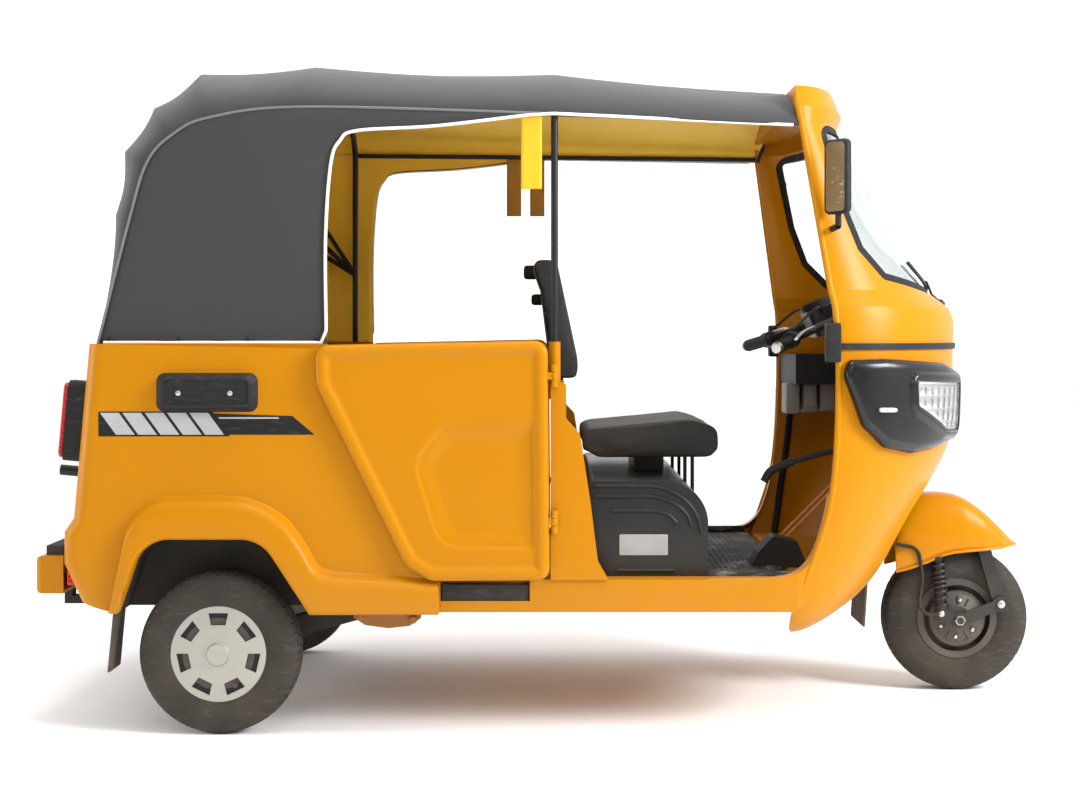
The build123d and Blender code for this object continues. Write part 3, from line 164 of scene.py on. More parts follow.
def addPiece(name, parts, material, body, crease=40, closed=True):
    # joins grids into one mesh, closes poles and seams, and lets it ride on its body
    starts = np.cumsum([0] + [len(verts) for verts, faces in parts[:-1]])
    verts = np.vstack([verts for verts, faces in parts])
    faces = np.vstack([faces + start for (v, faces), start in zip(parts, starts)])
    mesh = bpy.data.meshes.new(name)
    mesh.from_pydata(verts.tolist(), [], faces.tolist())
    work = bmesh.new()
    work.from_mesh(mesh)
    bmesh.ops.remove_doubles(work, verts=work.verts, dist=1e-6)
    if closed:
        bmesh.ops.recalc_face_normals(work, faces=work.faces)
    work.to_mesh(mesh)
    work.free()
    mesh.shade_smooth()
    mesh.set_sharp_from_angle(angle=math.radians(crease))
    piece = bpy.data.objects.new(name, mesh)
    bpy.context.scene.collection.objects.link(piece)
    mesh.materials.append(material)
    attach(piece, body)
    return piece


def addSheet(name, points, flat, materials, thick, body, hole=None):
    # open sheet on a grid with its flat layout kept as a UV map in metres; Solidify gives it its cloth
    # thickness; a hole is a block of quads left out, as first and last row, first and last column
    rows, cols = points.shape[:2]
    faces = gridFaces(rows, cols)
    if hole:
        keep = np.ones((rows - 1, cols - 1), bool)
        keep[hole[0] : hole[1], hole[2] : hole[3]] = False
        faces = faces[keep.ravel()]
    mesh = bpy.data.meshes.new(name)
    mesh.from_pydata(points.reshape(-1, 3).tolist(), [], faces.tolist())
    layer = mesh.uv_layers.new(name="flatCut")
    corner = np.zeros(len(mesh.loops), np.int32)
    mesh.loops.foreach_get("vertex_index", corner)
    layer.data.foreach_set("uv", flat.reshape(-1, 2)[corner].astype(np.float32).ravel())
    mesh.shade_smooth()
    piece = bpy.data.objects.new(name, mesh)
    bpy.context.scene.collection.objects.link(piece)
    for material in materials:
        mesh.materials.append(material)
    wall = piece.modifiers.new("clothThickness", "SOLIDIFY")
    wall.thickness = thick
    wall.offset = -1
    wall.use_even_offset = True
    wall.material_offset = len(materials) - 1
    wall.material_offset_rim = 0
    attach(piece, body)
    return piece


def pathLength(points):
    # sum of the steps along a path
    return float(np.linalg.norm(np.diff(points, axis=0), axis=1).sum())


def roundedOutline(points, radii, perCorner=8):
    # polygon with every corner turned on an arc that touches both of its sides
    p = np.asarray(points, float)
    before = unit(np.roll(p, 1, 0) - p)
    after = unit(np.roll(p, -1, 0) - p)
    half = np.arccos(np.clip((before * after).sum(1), -1, 1)) / 2
    r = np.asarray(radii, float)
    centre = p + unit(before + after) * (r / np.sin(half))[:, None]
    reach = (r / np.tan(half))[:, None]
    first, last = p + before * reach - centre, p + after * reach - centre
    turn = (np.pi - 2 * half)[:, None, None]
    t = np.linspace(0, 1, perCorner)[None, :, None]
    arcs = (np.sin((1 - t) * turn) * first[:, None] + np.sin(t * turn) * last[:, None]) / np.sin(turn)
    return (centre[:, None] + arcs).reshape(-1, 2)


def depthInside(points, outline):
    # distance to the nearest side of an outline, for points that lie within it, else nought
    a, b = outline, np.roll(outline, -1, 0)
    run = b - a
    offset = points[:, None] - a[None]
    share = np.clip((offset * run).sum(-1) / np.maximum((run**2).sum(-1), 1e-12), 0, 1)
    nearest = np.linalg.norm(offset - share[..., None] * run, axis=-1).min(1)
    crosses = (a[None, :, 1] > points[:, None, 1]) != (b[None, :, 1] > points[:, None, 1])
    slope = run[:, 0] / np.where(np.abs(run[:, 1]) < 1e-12, 1e-12, run[:, 1])
    left = points[:, None, 0] < a[None, :, 0] + slope * (points[:, None, 1] - a[None, :, 1])
    return nearest * ((crosses & left).sum(1) % 2)


def smoothStep(t):
    # rise from nought to one that is level at both ends: three t squared less two t cubed
    t = np.clip(t, 0, 1)
    return t * t * (3 - 2 * t)


def insetRing(points, radii, inset, perCorner, perSide):
    # the outline drawn in by a distance: corners keep their arc centres until the arc is nearly used up;
    # arcs and straight runs have fixed counts, so that rings of different inset match point by point
    p = np.asarray(points, float)
    before = unit(np.roll(p, 1, 0) - p)
    after = unit(np.roll(p, -1, 0) - p)
    half = np.arccos(np.clip((before * after).sum(1), -1, 1)) / 2
    drawn = p + unit(before + after) * (inset / np.sin(half))[:, None]
    leastArc = 0.006
    arcs = roundedOutline(drawn, np.maximum(np.asarray(radii) - inset, leastArc), perCorner)
    arcs = arcs.reshape(len(p), perCorner, 2)
    t = np.linspace(0, 1, perSide + 2)[1:-1][None, :, None]
    runs = arcs[:, -1:] * (1 - t) + np.roll(arcs, -1, 0)[:, :1] * t
    return np.concatenate([arcs, runs], 1).reshape(-1, 2)


# Shared surface effects, as node groups.


def openGroup(name, inputs, outputs):
    # empty shader group with its sockets
    group = bpy.data.node_groups.new(name, "ShaderNodeTree")
    for label, kind, value in inputs:
        socket = group.interface.new_socket(label, in_out="INPUT", socket_type=kind)
        if value is not None:
            socket.default_value = value
    for label, kind in outputs:
        group.interface.new_socket(label, in_out="OUTPUT", socket_type=kind)
    return group, group.nodes.new("NodeGroupInput"), group.nodes.new("NodeGroupOutput")


def put(tree, kind, **settings):
    # new node with its own properties set
    made = tree.nodes.new(kind)
    for key, value in settings.items():
        setattr(made, key, value)
    return made


def maths(tree, operation, first, second=None, clamp=False):
    # Math node fed by sockets or numbers
    made = put(tree, "ShaderNodeMath", operation=operation, use_clamp=clamp)
    for k, value in enumerate((first, second)):
        if value is None:
            continue
        if isinstance(value, (int, float)):
            made.inputs[k].default_value = value
        else:
            tree.links.new(value, made.inputs[k])
    return made.outputs[0]


def blendColours(tree, factor, first, second):
    # colour mix fed by sockets or fixed colours
    made = put(tree, "ShaderNodeMix", data_type="RGBA")
    for key, value in ((0, factor), (6, first), (7, second)):
        if isinstance(value, (int, float, tuple)):
            made.inputs[key].default_value = value
        else:
            tree.links.new(value, made.inputs[key])
    return made.outputs[2]


colourKind, numberKind, vectorKind = "NodeSocketColor", "NodeSocketFloat", "NodeSocketVector"


def makeTintSpread():
    # colour lightened and darkened by two sizes of soft noise
    group, start, end = openGroup(
        "tintSpread",
        [
            ("Vector", vectorKind, None), ("Colour", colourKind, None), ("Scale", numberKind, 6.0),
            ("Spread", numberKind, 0.1),
        ],
        [("Colour", colourKind), ("Mask", numberKind)],
    )
    coarse = put(group, "ShaderNodeTexNoise")
    coarse.inputs["Detail"].default_value = 4
    fine = put(group, "ShaderNodeTexNoise")
    fine.inputs["Detail"].default_value = 6
    group.links.new(start.outputs["Vector"], coarse.inputs["Vector"])
    group.links.new(start.outputs["Vector"], fine.inputs["Vector"])
    group.links.new(start.outputs["Scale"], coarse.inputs["Scale"])
    group.links.new(maths(group, "MULTIPLY", start.outputs["Scale"], 9.0), fine.inputs["Scale"])
    both = maths(
        group,
        "ADD",
        maths(group, "MULTIPLY", coarse.outputs["Fac"], 0.65),
        maths(group, "MULTIPLY", fine.outputs["Fac"], 0.35),
    )
    swing = maths(
        group,
        "MULTIPLY",
        maths(group, "SUBTRACT", both, 0.5),
        maths(group, "MULTIPLY", start.outputs["Spread"], 2.0),
    )
    tone = put(group, "ShaderNodeHueSaturation")
    group.links.new(maths(group, "ADD", swing, 1.0), tone.inputs["Value"])
    group.links.new(start.outputs["Colour"], tone.inputs["Color"])
    group.links.new(tone.outputs["Color"], end.inputs["Colour"])
    group.links.new(both, end.inputs["Mask"])
    return group


def makeRoadDust():
    # dust that thins out with height over the road, broken up by noise
    group, start, end = openGroup(
        "roadDust",
        [
            ("Vector", vectorKind, None),
            ("Colour", colourKind, None),
            ("Dust", colourKind, (0.32, 0.25, 0.17, 1)),
            ("Reach", numberKind, 0.5),
            ("Amount", numberKind, 0.3),
        ],
        [("Colour", colourKind), ("Mask", numberKind)],
    )
    split = put(group, "ShaderNodeSeparateXYZ")
    cloud = put(group, "ShaderNodeTexNoise")
    cloud.inputs["Scale"].default_value = 11
    cloud.inputs["Detail"].default_value = 7
    group.links.new(start.outputs["Vector"], split.inputs["Vector"])
    group.links.new(start.outputs["Vector"], cloud.inputs["Vector"])
    low = maths(
        group, "SUBTRACT", 1.0, maths(group, "DIVIDE", split.outputs["Z"], start.outputs["Reach"]), clamp=True
    )
    spots = maths(group, "MULTIPLY", cloud.outputs["Fac"], 1.6, clamp=True)
    mask = maths(group, "MULTIPLY", maths(group, "MULTIPLY", low, spots), start.outputs["Amount"], clamp=True)
    group.links.new(
        blendColours(group, mask, start.outputs["Colour"], start.outputs["Dust"]), end.inputs["Colour"]
    )
    group.links.new(mask, end.inputs["Mask"])
    return group


def makeFineGrain():
    # pebbled height for moulded plastic and seat covering: cell edges over soft noise
    group, start, end = openGroup(
        "fineGrain",
        [("Vector", vectorKind, None), ("Scale", numberKind, 600.0)],
        [("Height", numberKind)],
    )
    cells = put(group, "ShaderNodeTexVoronoi", feature="SMOOTH_F1")
    soft = put(group, "ShaderNodeTexNoise")
    soft.inputs["Detail"].default_value = 3
    group.links.new(start.outputs["Vector"], cells.inputs["Vector"])
    group.links.new(start.outputs["Vector"], soft.inputs["Vector"])
    group.links.new(start.outputs["Scale"], cells.inputs["Scale"])
    group.links.new(maths(group, "MULTIPLY", start.outputs["Scale"], 0.4), soft.inputs["Scale"])
    height = maths(
        group,
        "ADD",
        maths(group, "MULTIPLY", cells.outputs["Distance"], -0.7),
        maths(group, "MULTIPLY", soft.outputs["Fac"], 0.5),
    )
    group.links.new(height, end.inputs["Height"])
    return group


def makeClothWeave():
    # two crossed thread waves on the flat cut, one thread over the other in turn
    group, start, end = openGroup(
        "clothWeave",
        [("Vector", vectorKind, None), ("Threads", numberKind, 900.0)],
        [("Height", numberKind)],
    )
    split = put(group, "ShaderNodeSeparateXYZ")
    group.links.new(start.outputs["Vector"], split.inputs["Vector"])
    along = maths(group, "MULTIPLY", split.outputs["X"], start.outputs["Threads"])
    across = maths(group, "MULTIPLY", split.outputs["Y"], start.outputs["Threads"])
    warp = maths(group, "ABSOLUTE", maths(group, "SINE", along))
    weft = maths(group, "ABSOLUTE", maths(group, "SINE", across))
    turn = maths(
        group,
        "GREATER_THAN",
        maths(
            group,
            "MULTIPLY",
            maths(group, "SINE", maths(group, "MULTIPLY", along, 0.5)),
            maths(group, "SINE", maths(group, "MULTIPLY", across, 0.5)),
        ),
        0.0,
    )
    height = maths(
        group,
        "ADD",
        maths(group, "MULTIPLY", warp, turn),
        maths(group, "MULTIPLY", weft, maths(group, "SUBTRACT", 1.0, turn)),
    )
    group.links.new(height, end.inputs["Height"])
    return group


def makeScuffs():
    # short worn streaks, as a mask: stretched noise with only its peaks kept
    group, start, end = openGroup(
        "scuffs",
        [("Vector", vectorKind, None), ("Scale", numberKind, 30.0), ("Keep", numberKind, 0.6)],
        [("Mask", numberKind)],
    )
    stretch = put(group, "ShaderNodeMapping")
    stretch.inputs["Scale"].default_value = (1.0, 1.0, 4.0)
    streaks = put(group, "ShaderNodeTexNoise")
    streaks.inputs["Detail"].default_value = 8
    streaks.inputs["Distortion"].default_value = 0.6
    group.links.new(start.outputs["Vector"], stretch.inputs["Vector"])
    group.links.new(stretch.outputs["Vector"], streaks.inputs["Vector"])
    group.links.new(start.outputs["Scale"], streaks.inputs["Scale"])
    peaks = maths(
        group,
        "MULTIPLY",
        maths(group, "SUBTRACT", streaks.outputs["Fac"], start.outputs["Keep"]),
        5.0,
        clamp=True,
    )
    group.links.new(peaks, end.inputs["Mask"])
    return group


groups = {
    "tintSpread": makeTintSpread(),
    "roadDust": makeRoadDust(),
    "fineGrain": makeFineGrain(),
    "clothWeave": makeClothWeave(),
    "scuffs": makeScuffs(),
}


def useGroup(tree, name, vector, **values):
    # places a shared effect in a material with its own values
    made = put(tree, "ShaderNodeGroup", node_tree=groups[name])
    tree.links.new(vector, made.inputs["Vector"])
    for label, value in values.items():
        if isinstance(value, (int, float, tuple)):
            made.inputs[label].default_value = value
        else:
            tree.links.new(value, made.inputs[label])
    return made


def openMaterial(name, **shaderValues):
    # fresh Principled material; fixed numbers go straight to the shader's sockets
    material = bpy.data.materials.new(name)
    material.use_nodes = True
    tree = material.node_tree
    shader = tree.nodes["Principled BSDF"]
    for label, value in shaderValues.items():
        shader.inputs[label.replace("_", " ")].default_value = value
    return material, tree, shader


def bumpFrom(tree, shader, height, distance, strength=0.5):
    # height into the shader's normal
    bump = put(tree, "ShaderNodeBump")
    bump.inputs["Distance"].default_value = distance
    bump.inputs["Strength"].default_value = strength
    tree.links.new(height, bump.inputs["Height"])
    tree.links.new(bump.outputs["Normal"], shader.inputs["Normal"])


def spanValue(tree, mask, low, high):
    # mask of 0..1 spread between two numbers
    return maths(tree, "ADD", maths(tree, "MULTIPLY", mask, high - low), low)


def makePaint(name, look):
    # gloss coat over colour with a hint of orange peel; dust low down dulls it
    material, tree, shader = openMaterial(
        name, Coat_Roughness=look["coatRough"], Specular_IOR_Level=look["gloss"]
    )
    place = put(tree, "ShaderNodeTexCoord").outputs["Object"]
    tint = useGroup(
        tree, "tintSpread", place, Colour=look["colour"], Scale=look["patch"], Spread=look["spread"]
    )
    dust = useGroup(
        tree, "roadDust", place, Colour=tint.outputs["Colour"], Reach=look["dustReach"], Amount=look["dust"]
    )
    marks = useGroup(tree, "scuffs", place, Scale=24.0, Keep=look["scuffKeep"])
    dull = maths(
        tree, "ADD", dust.outputs["Mask"], maths(tree, "MULTIPLY", marks.outputs["Mask"], 0.25), clamp=True
    )
    tree.links.new(dust.outputs["Colour"], shader.inputs["Base Color"])
    tree.links.new(spanValue(tree, dull, look["rough"], 0.75), shader.inputs["Roughness"])
    tree.links.new(spanValue(tree, dull, look["coat"], 0.0), shader.inputs["Coat Weight"])
    peel = put(tree, "ShaderNodeTexNoise")
    peel.inputs["Scale"].default_value = look["peelScale"]
    tree.links.new(place, peel.inputs["Vector"])
    bumpFrom(tree, shader, peel.outputs["Fac"], look["peel"], 0.25)
    return material


def makePlastic(name, look):
    # grained moulding, paler where it is rubbed
    material, tree, shader = openMaterial(name, Specular_IOR_Level=look["gloss"])
    place = put(tree, "ShaderNodeTexCoord").outputs["Object"]
    tint = useGroup(tree, "tintSpread", place, Colour=look["colour"], Scale=9.0, Spread=look["spread"])
    marks = useGroup(tree, "scuffs", place, Scale=look["scuffScale"], Keep=look["scuffKeep"])
    pale = blendColours(
        tree,
        maths(tree, "MULTIPLY", marks.outputs["Mask"], look["scuff"]),
        tint.outputs["Colour"],
        look["rubbed"],
    )
    dust = useGroup(tree, "roadDust", place, Colour=pale, Reach=look["dustReach"], Amount=look["dust"])
    grain = useGroup(tree, "fineGrain", place, Scale=look["grainScale"])
    tree.links.new(dust.outputs["Colour"], shader.inputs["Base Color"])
    tree.links.new(
        spanValue(
            tree,
            maths(tree, "ADD", tint.outputs["Mask"], dust.outputs["Mask"], clamp=True),
            look["rough"],
            look["rough"] + 0.25,
        ),
        shader.inputs["Roughness"],
    )
    bumpFrom(tree, shader, grain.outputs["Height"], look["grain"], look["grainStrength"])
    return material


def makeMetal(name, look):
    # metal with brushed or cast texture and dull patches
    material, tree, shader = openMaterial(name, Metallic=look["metal"])
    place = put(tree, "ShaderNodeTexCoord").outputs["Object"]
    tint = useGroup(
        tree, "tintSpread", place, Colour=look["colour"], Scale=look["patch"], Spread=look["spread"]
    )
    dust = useGroup(
        tree, "roadDust", place, Colour=tint.outputs["Colour"], Reach=look["dustReach"], Amount=look["dust"]
    )
    marks = useGroup(tree, "scuffs", place, Scale=40.0, Keep=0.58)
    shown = dust.outputs["Colour"]
    if "darkInside" in look:
        split = put(tree, "ShaderNodeSeparateXYZ")
        tree.links.new(place, split.inputs["Vector"])
        inside = maths(tree, "LESS_THAN", maths(tree, "ABSOLUTE", split.outputs["Y"]), look["darkInside"])
        shown = blendColours(tree, inside, shown, (0.012, 0.012, 0.012, 1))
    tree.links.new(shown, shader.inputs["Base Color"])
    rough = maths(
        tree, "ADD", maths(tree, "MULTIPLY", marks.outputs["Mask"], 0.5), dust.outputs["Mask"], clamp=True
    )
    tree.links.new(spanValue(tree, rough, look["rough"], look["rough"] + 0.35), shader.inputs["Roughness"])
    grain = useGroup(tree, "fineGrain", place, Scale=look["grainScale"])
    bumpFrom(tree, shader, grain.outputs["Height"], look["grain"], 0.4)
    return material


def makeCloth(name, look):
    # coated cloth: weave on the flat cut, faint creases, faded patches
    material, tree, shader = openMaterial(name, IOR=1.4, Sheen_Weight=look["sheen"], Sheen_Roughness=0.5)
    coords = put(tree, "ShaderNodeTexCoord")
    tint = useGroup(
        tree,
        "tintSpread",
        coords.outputs["Object"],
        Colour=look["colour"],
        Scale=look["patch"],
        Spread=look["spread"],
    )
    weave = useGroup(tree, "clothWeave", coords.outputs["UV"], Threads=look["threads"])
    shade = blendColours(
        tree,
        maths(tree, "MULTIPLY", weave.outputs["Height"], look["threadTone"]),
        tint.outputs["Colour"],
        look["threadColour"],
    )
    tree.links.new(shade, shader.inputs["Base Color"])
    tree.links.new(
        spanValue(tree, tint.outputs["Mask"], look["rough"] - 0.1, look["rough"] + 0.1),
        shader.inputs["Roughness"],
    )
    crease = put(tree, "ShaderNodeTexNoise")
    crease.inputs["Scale"].default_value = look["creaseScale"]
    crease.inputs["Detail"].default_value = 5
    tree.links.new(coords.outputs["Object"], crease.inputs["Vector"])
    height = maths(
        tree,
        "ADD",
        maths(tree, "MULTIPLY", weave.outputs["Height"], look["threadHigh"]),
        maths(tree, "MULTIPLY", crease.outputs["Fac"], look["crease"]),
    )
    bumpFrom(tree, shader, height, 1.0, 0.6)
    return material


def makeClear(name, look):
    # see-through material with a faint tint, waved where the look asks for it
    material, tree, shader = openMaterial(name, Transmission_Weight=look["clear"], IOR=look["ior"])
    place = put(tree, "ShaderNodeTexCoord").outputs["Object"]
    tint = useGroup(tree, "tintSpread", place, Colour=look["colour"], Scale=5.0, Spread=look["spread"])
    tree.links.new(tint.outputs["Colour"], shader.inputs["Base Color"])
    tree.links.new(
        spanValue(tree, tint.outputs["Mask"], look["rough"], look["rough"] + look["smear"]),
        shader.inputs["Roughness"],
    )
    if look["flute"] > 0:
        flutes = put(tree, "ShaderNodeTexWave", wave_type="BANDS", bands_direction=look["fluteAxis"])
        flutes.inputs["Scale"].default_value = look["fluteScale"]
        tree.links.new(place, flutes.inputs["Vector"])
        bumpFrom(tree, shader, flutes.outputs["Fac"], look["flute"], 0.6)
    return material


paintLook = {
    "colour": (0.455, 0.176, 0.0, 1),
    "patch": 3.0,
    "spread": 0.04,
    "rough": 0.34,
    "gloss": 0.03,
    "coat": 0.25,
    "coatRough": 0.32,
    "peelScale": 420.0,
    "peel": 0.0004,
    "dust": 0.22,
    "dustReach": 0.45,
    "scuffKeep": 0.66,
}
bodyPaint = makePaint("bodyPaint", paintLook)
undersealLook = dict(
    paintLook,
    colour=(0.018, 0.018, 0.018, 1),
    rough=0.7,
    gloss=0.15,
    coat=0.0,
    dust=0.14,
    dustReach=0.8,
    peel=0.002,
    peelScale=160.0,
)
underseal = makePaint("underseal", undersealLook)
satinLook = dict(
    paintLook, colour=(0.012, 0.012, 0.013, 1), rough=0.38, gloss=0.25, coat=0.08, dust=0.15, dustReach=0.5
)
satinBlack = makePaint("satinBlack", satinLook)
ochreLook = dict(paintLook, colour=(0.36, 0.14, 0.03, 1), rough=0.5, coat=0.1, dust=0.5)
ochreSteel = makePaint("ochreSteel", ochreLook)
rodPaint = makePaint("rodPaint", dict(ochreLook, colour=(0.80, 0.36, 0.14, 1), dust=0.1))

plasticLook = {
    "colour": (0.016, 0.016, 0.017, 1),
    "spread": 0.15,
    "rubbed": (0.09, 0.09, 0.09, 1),
    "scuff": 0.35,
    "scuffScale": 30.0,
    "scuffKeep": 0.56,
    "gloss": 0.18,
    "rough": 0.42,
    "grainScale": 900.0,
    "grain": 0.0005,
    "grainStrength": 0.5,
    "dust": 0.15,
    "dustReach": 0.6,
}
trimPlastic = makePlastic("trimPlastic", plasticLook)
lampPlastic = makePlastic(
    "lampPlastic",
    dict(
        plasticLook,
        colour=(0.007, 0.007, 0.008, 1),
        rough=0.12,
        gloss=0.4,
        grain=0.0001,
        scuff=0.05,
        spread=0.05,
    ),
)
sealRubber = makePlastic(
    "sealRubber", dict(plasticLook, colour=(0.014, 0.014, 0.014, 1), rough=0.6, grainScale=500.0)
)
flapRubber = makePlastic(
    "flapRubber", dict(plasticLook, colour=(0.022, 0.022, 0.022, 1), rough=0.62, dust=0.35, dustReach=0.7)
)
matRubber = makePlastic(
    "matRubber",
    dict(
        plasticLook,
        colour=(0.020, 0.020, 0.020, 1),
        rough=0.55,
        scuff=0.8,
        scuffKeep=0.5,
        scuffScale=14.0,
        rubbed=(0.30, 0.29, 0.28, 1),
    ),
)
seatVinyl = makePlastic(
    "seatVinyl",
    dict(
        plasticLook,
        colour=(0.030, 0.029, 0.027, 1),
        rough=0.40,
        grainScale=420.0,
        grain=0.0012,
        grainStrength=0.7,
        scuff=0.2,
    ),
)
tyreRubber = makePlastic(
    "tyreRubber",
    dict(
        plasticLook,
        colour=(0.020, 0.0195, 0.018, 1),
        rough=0.55,
        grainScale=300.0,
        dust=0.12,
        dustReach=0.75,
        scuff=0.35,
        rubbed=(0.10, 0.098, 0.09, 1),
    ),
)
leverBlack = makePlastic("leverBlack", dict(plasticLook, colour=(0.040, 0.038, 0.037, 1), rough=0.5))
boxPlastic = makePlastic(
    "boxPlastic",
    dict(plasticLook, colour=(0.008, 0.008, 0.008, 1), rough=0.24, gloss=0.3, scuff=0.08, spread=0.06),
)
filmBlack = makePlastic(
    "filmBlack", dict(plasticLook, colour=(0.012, 0.012, 0.012, 1), rough=0.3, grain=0.0001)
)
filmSilver = makePlastic(
    "filmSilver",
    dict(plasticLook, colour=(0.36, 0.36, 0.36, 1), rubbed=(0.5, 0.5, 0.5, 1), rough=0.3, grain=0.0001),
)
greyPlastic = makePlastic(
    "greyPlastic", dict(plasticLook, colour=(0.30, 0.30, 0.295, 1), rubbed=(0.45, 0.45, 0.45, 1))
)

metalLook = {
    "colour": (0.62, 0.61, 0.58, 1),
    "metal": 0.55,
    "patch": 14.0,
    "spread": 0.08,
    "rough": 0.34,
    "grainScale": 700.0,
    "grain": 0.0003,
    "dust": 0.25,
    "dustReach": 0.5,
}
wheelSilver = makeMetal(
    "wheelSilver", dict(metalLook, colour=(0.40, 0.39, 0.355, 1), rough=0.42, darkInside=0.6238)
)
castAlloy = makeMetal(
    "castAlloy",
    dict(
        metalLook,
        colour=(0.20, 0.20, 0.20, 1),
        metal=0.8,
        rough=0.5,
        grain=0.0015,
        grainScale=350.0,
        dust=0.6,
        dustReach=0.9,
    ),
)
castBlack = makeMetal(
    "castBlack",
    dict(
        metalLook,
        colour=(0.022, 0.022, 0.022, 1),
        metal=0.2,
        rough=0.5,
        grain=0.0012,
        grainScale=300.0,
        dust=0.3,
    ),
)
brightZinc = makeMetal(
    "brightZinc", dict(metalLook, colour=(0.50, 0.49, 0.47, 1), metal=1.0, rough=0.34, dust=0.1)
)
mirrorCoat = makeMetal(
    "mirrorCoat",
    dict(metalLook, colour=(0.72, 0.73, 0.74, 1), metal=1.0, rough=0.16, grain=0.0, spread=0.01, dust=0.0),
)
reflectorChrome = makeMetal(
    "reflectorChrome",
    dict(metalLook, colour=(0.62, 0.63, 0.64, 1), metal=1.0, rough=0.2, grain=0.0, dust=0.0),
)

clothLook = {
    "colour": (0.0235, 0.0235, 0.0245, 1),
    "patch": 4.0,
    "spread": 0.12,
    "rough": 0.68,
    "sheen": 0.15,
    "threads": 2400.0,
    "threadTone": 0.25,
    "threadColour": (0.048, 0.048, 0.050, 1),
    "threadHigh": 0.00025,
    "crease": 0.006,
    "creaseScale": 7.0,
}
hoodCloth = makeCloth("hoodCloth", clothLook)
liningCloth = makeCloth(
    "liningCloth", dict(clothLook, colour=(1.0, 0.64, 0.065, 1), threadColour=(1.0, 0.68, 0.08, 1))
)
pipingCloth = makeCloth(
    "pipingCloth", dict(clothLook, colour=(0.80, 0.79, 0.74, 1), threadColour=(0.9, 0.9, 0.86, 1), crease=0.0)
)
strapYellow = makeCloth(
    "strapYellow",
    dict(
        clothLook,
        colour=(0.74, 0.37, 0.004, 1),
        threadColour=(0.80, 0.43, 0.01, 1),
        threads=1400.0,
        crease=0.001,
    ),
)
# the strap yellow darkened for the two far straps: painted shade
strapPaintedShade = makeCloth(
    "strapPaintedShade",
    dict(
        clothLook,
        colour=(0.42, 0.20, 0.03, 1),
        threadColour=(0.52, 0.26, 0.05, 1),
        threads=1400.0,
        crease=0.001,
    ),
)
seamCloth = makeCloth("seamCloth", dict(clothLook, colour=(0.13, 0.13, 0.135, 1), crease=0.0))

clearLook = {
    "colour": (0.90, 0.96, 0.95, 1),
    "clear": 1.0,
    "ior": 1.45,
    "spread": 0.01,
    "rough": 0.0,
    "smear": 0.03,
    "flute": 0.0,
    "fluteAxis": "Y",
    "fluteScale": 30.0,
}
screenGlass = makeClear("screenGlass", clearLook)
lampGlass = makeClear("lampGlass", dict(clearLook, colour=(0.97, 0.98, 0.99, 1)))
windowVinyl = makeClear(
    "windowVinyl", dict(clearLook, colour=(0.88, 0.88, 0.83, 1), clear=0.92, rough=0.08, smear=0.25)
)
redLens = makeClear(
    "redLens",
    dict(
        clearLook,
        colour=(0.62, 0.012, 0.010, 1),
        clear=0.35,
        rough=0.08,
        flute=0.002,
        fluteAxis="Z",
        fluteScale=26.0,
    ),
)
paleLens = makePlastic(
    "paleLens",
    dict(plasticLook, colour=(0.80, 0.80, 0.78, 1), rubbed=(0.9, 0.9, 0.9, 1), rough=0.15, grain=0.0001),
)
print("materials made:", len(bpy.data.materials))


# Finishes of the carried-over nodes.

finishes = {
    bodyPaint: [
        "floor_pan",
        "rear_tub",
        "front_shell",
        "partition",
        "rear_lid",
        "rear_bumper",
        "door_hinges",
        "hatch_hinges",
    ],
    underseal: ["wheel_housings", "chassis_frame", "rear_suspension"],
    satinBlack: ["steering_head", "hood_frame", "fork", "handlebar", "bench_base", "hatch_fittings"],
    trimPlastic: [
        "shell_trim",
        "side_vents",
        "mirror_shells",
        "dashboard",
        "foot_controls",
        "side_steps",
        "tail_lamp_housings",
    ],
    boxPlastic: ["driver_seat_base"],
    sealRubber: ["windshield_seal", "brake_hose"],
    flapRubber: ["rubber_flaps"],
    screenGlass: ["windshield_glass"],
    redLens: ["tail_lamp_lenses"],
    mirrorCoat: ["mirror_glasses"],
    castAlloy: ["engine_block"],
    wheelSilver: ["rear_rim_right", "rear_rim_left"],
    castBlack: ["front_rim"],
}
for material, names in finishes.items():
    for name in names:
        nodes[name].data.materials.clear()
        nodes[name].data.materials.append(material)
print("nodes finished:", sum(len(names) for names in finishes.values()))


# Hood cloth over its bows. Rows: seam x, seam z, crown x, crown z, half width.

hood = {
    "bows": [
        (-1.165, 0.985, -1.187, 0.985, 0.600),
        (-1.085, 1.300, -1.190, 1.330, 0.600),
        (-1.040, 1.445, -1.178, 1.505, 0.600),
        (-0.975, 1.515, -1.097, 1.635, 0.600),
        (-0.880, 1.558, -0.972, 1.732, 0.600),
        (-0.640, 1.584, -0.655, 1.750, 0.600),
        (-0.010, 1.567, -0.010, 1.730, 0.600),
        (0.606, 1.548, 0.610, 1.680, 0.515),
        (0.624, 1.546, 0.652, 1.6575, 0.480),
    ],
    "perBow": 14,
    "across": 97,
    "sag": [0.010, 0.012, 0.012, 0.012, 0.010, 0.012, 0.008, 0.0],
    "wrinkle": 0.0016,
    "thick": 0.004,
    "opening": [
        (-0.587, 0.985), (-0.589, 1.248), (-0.576, 1.438), (-0.553, 1.498), (-0.508, 1.524),
        (-0.310, 1.536), (-0.072, 1.564),
    ],
    "half": 0.600,
    "sideBows": 6,
    "sideRows": 120,
    "sideCols": 34,
    "sideIn": 0.0005,
    "sideBelly": 0.006,
    "hemFold": 0.0022,
    "drift": 0.0012,
    "edgeTuck": 0.004,
    "piping": 0.0042,
    "pipingOut": 0.0005,
    "hem": [(-1.150, 0.988), (-0.600, 0.988)],
    "valance": [(-0.010, 1.567), (0.300, 1.5575), (0.604, 1.548)],
    "seam": 0.0034,
    "window": (4, 12, 32, 64),
    "windowLap": 1,
    "windowThick": 0.0015,
    "windowGap": 0.0005,
    "tape": (0.022, 0.0056, 0.0024),
}


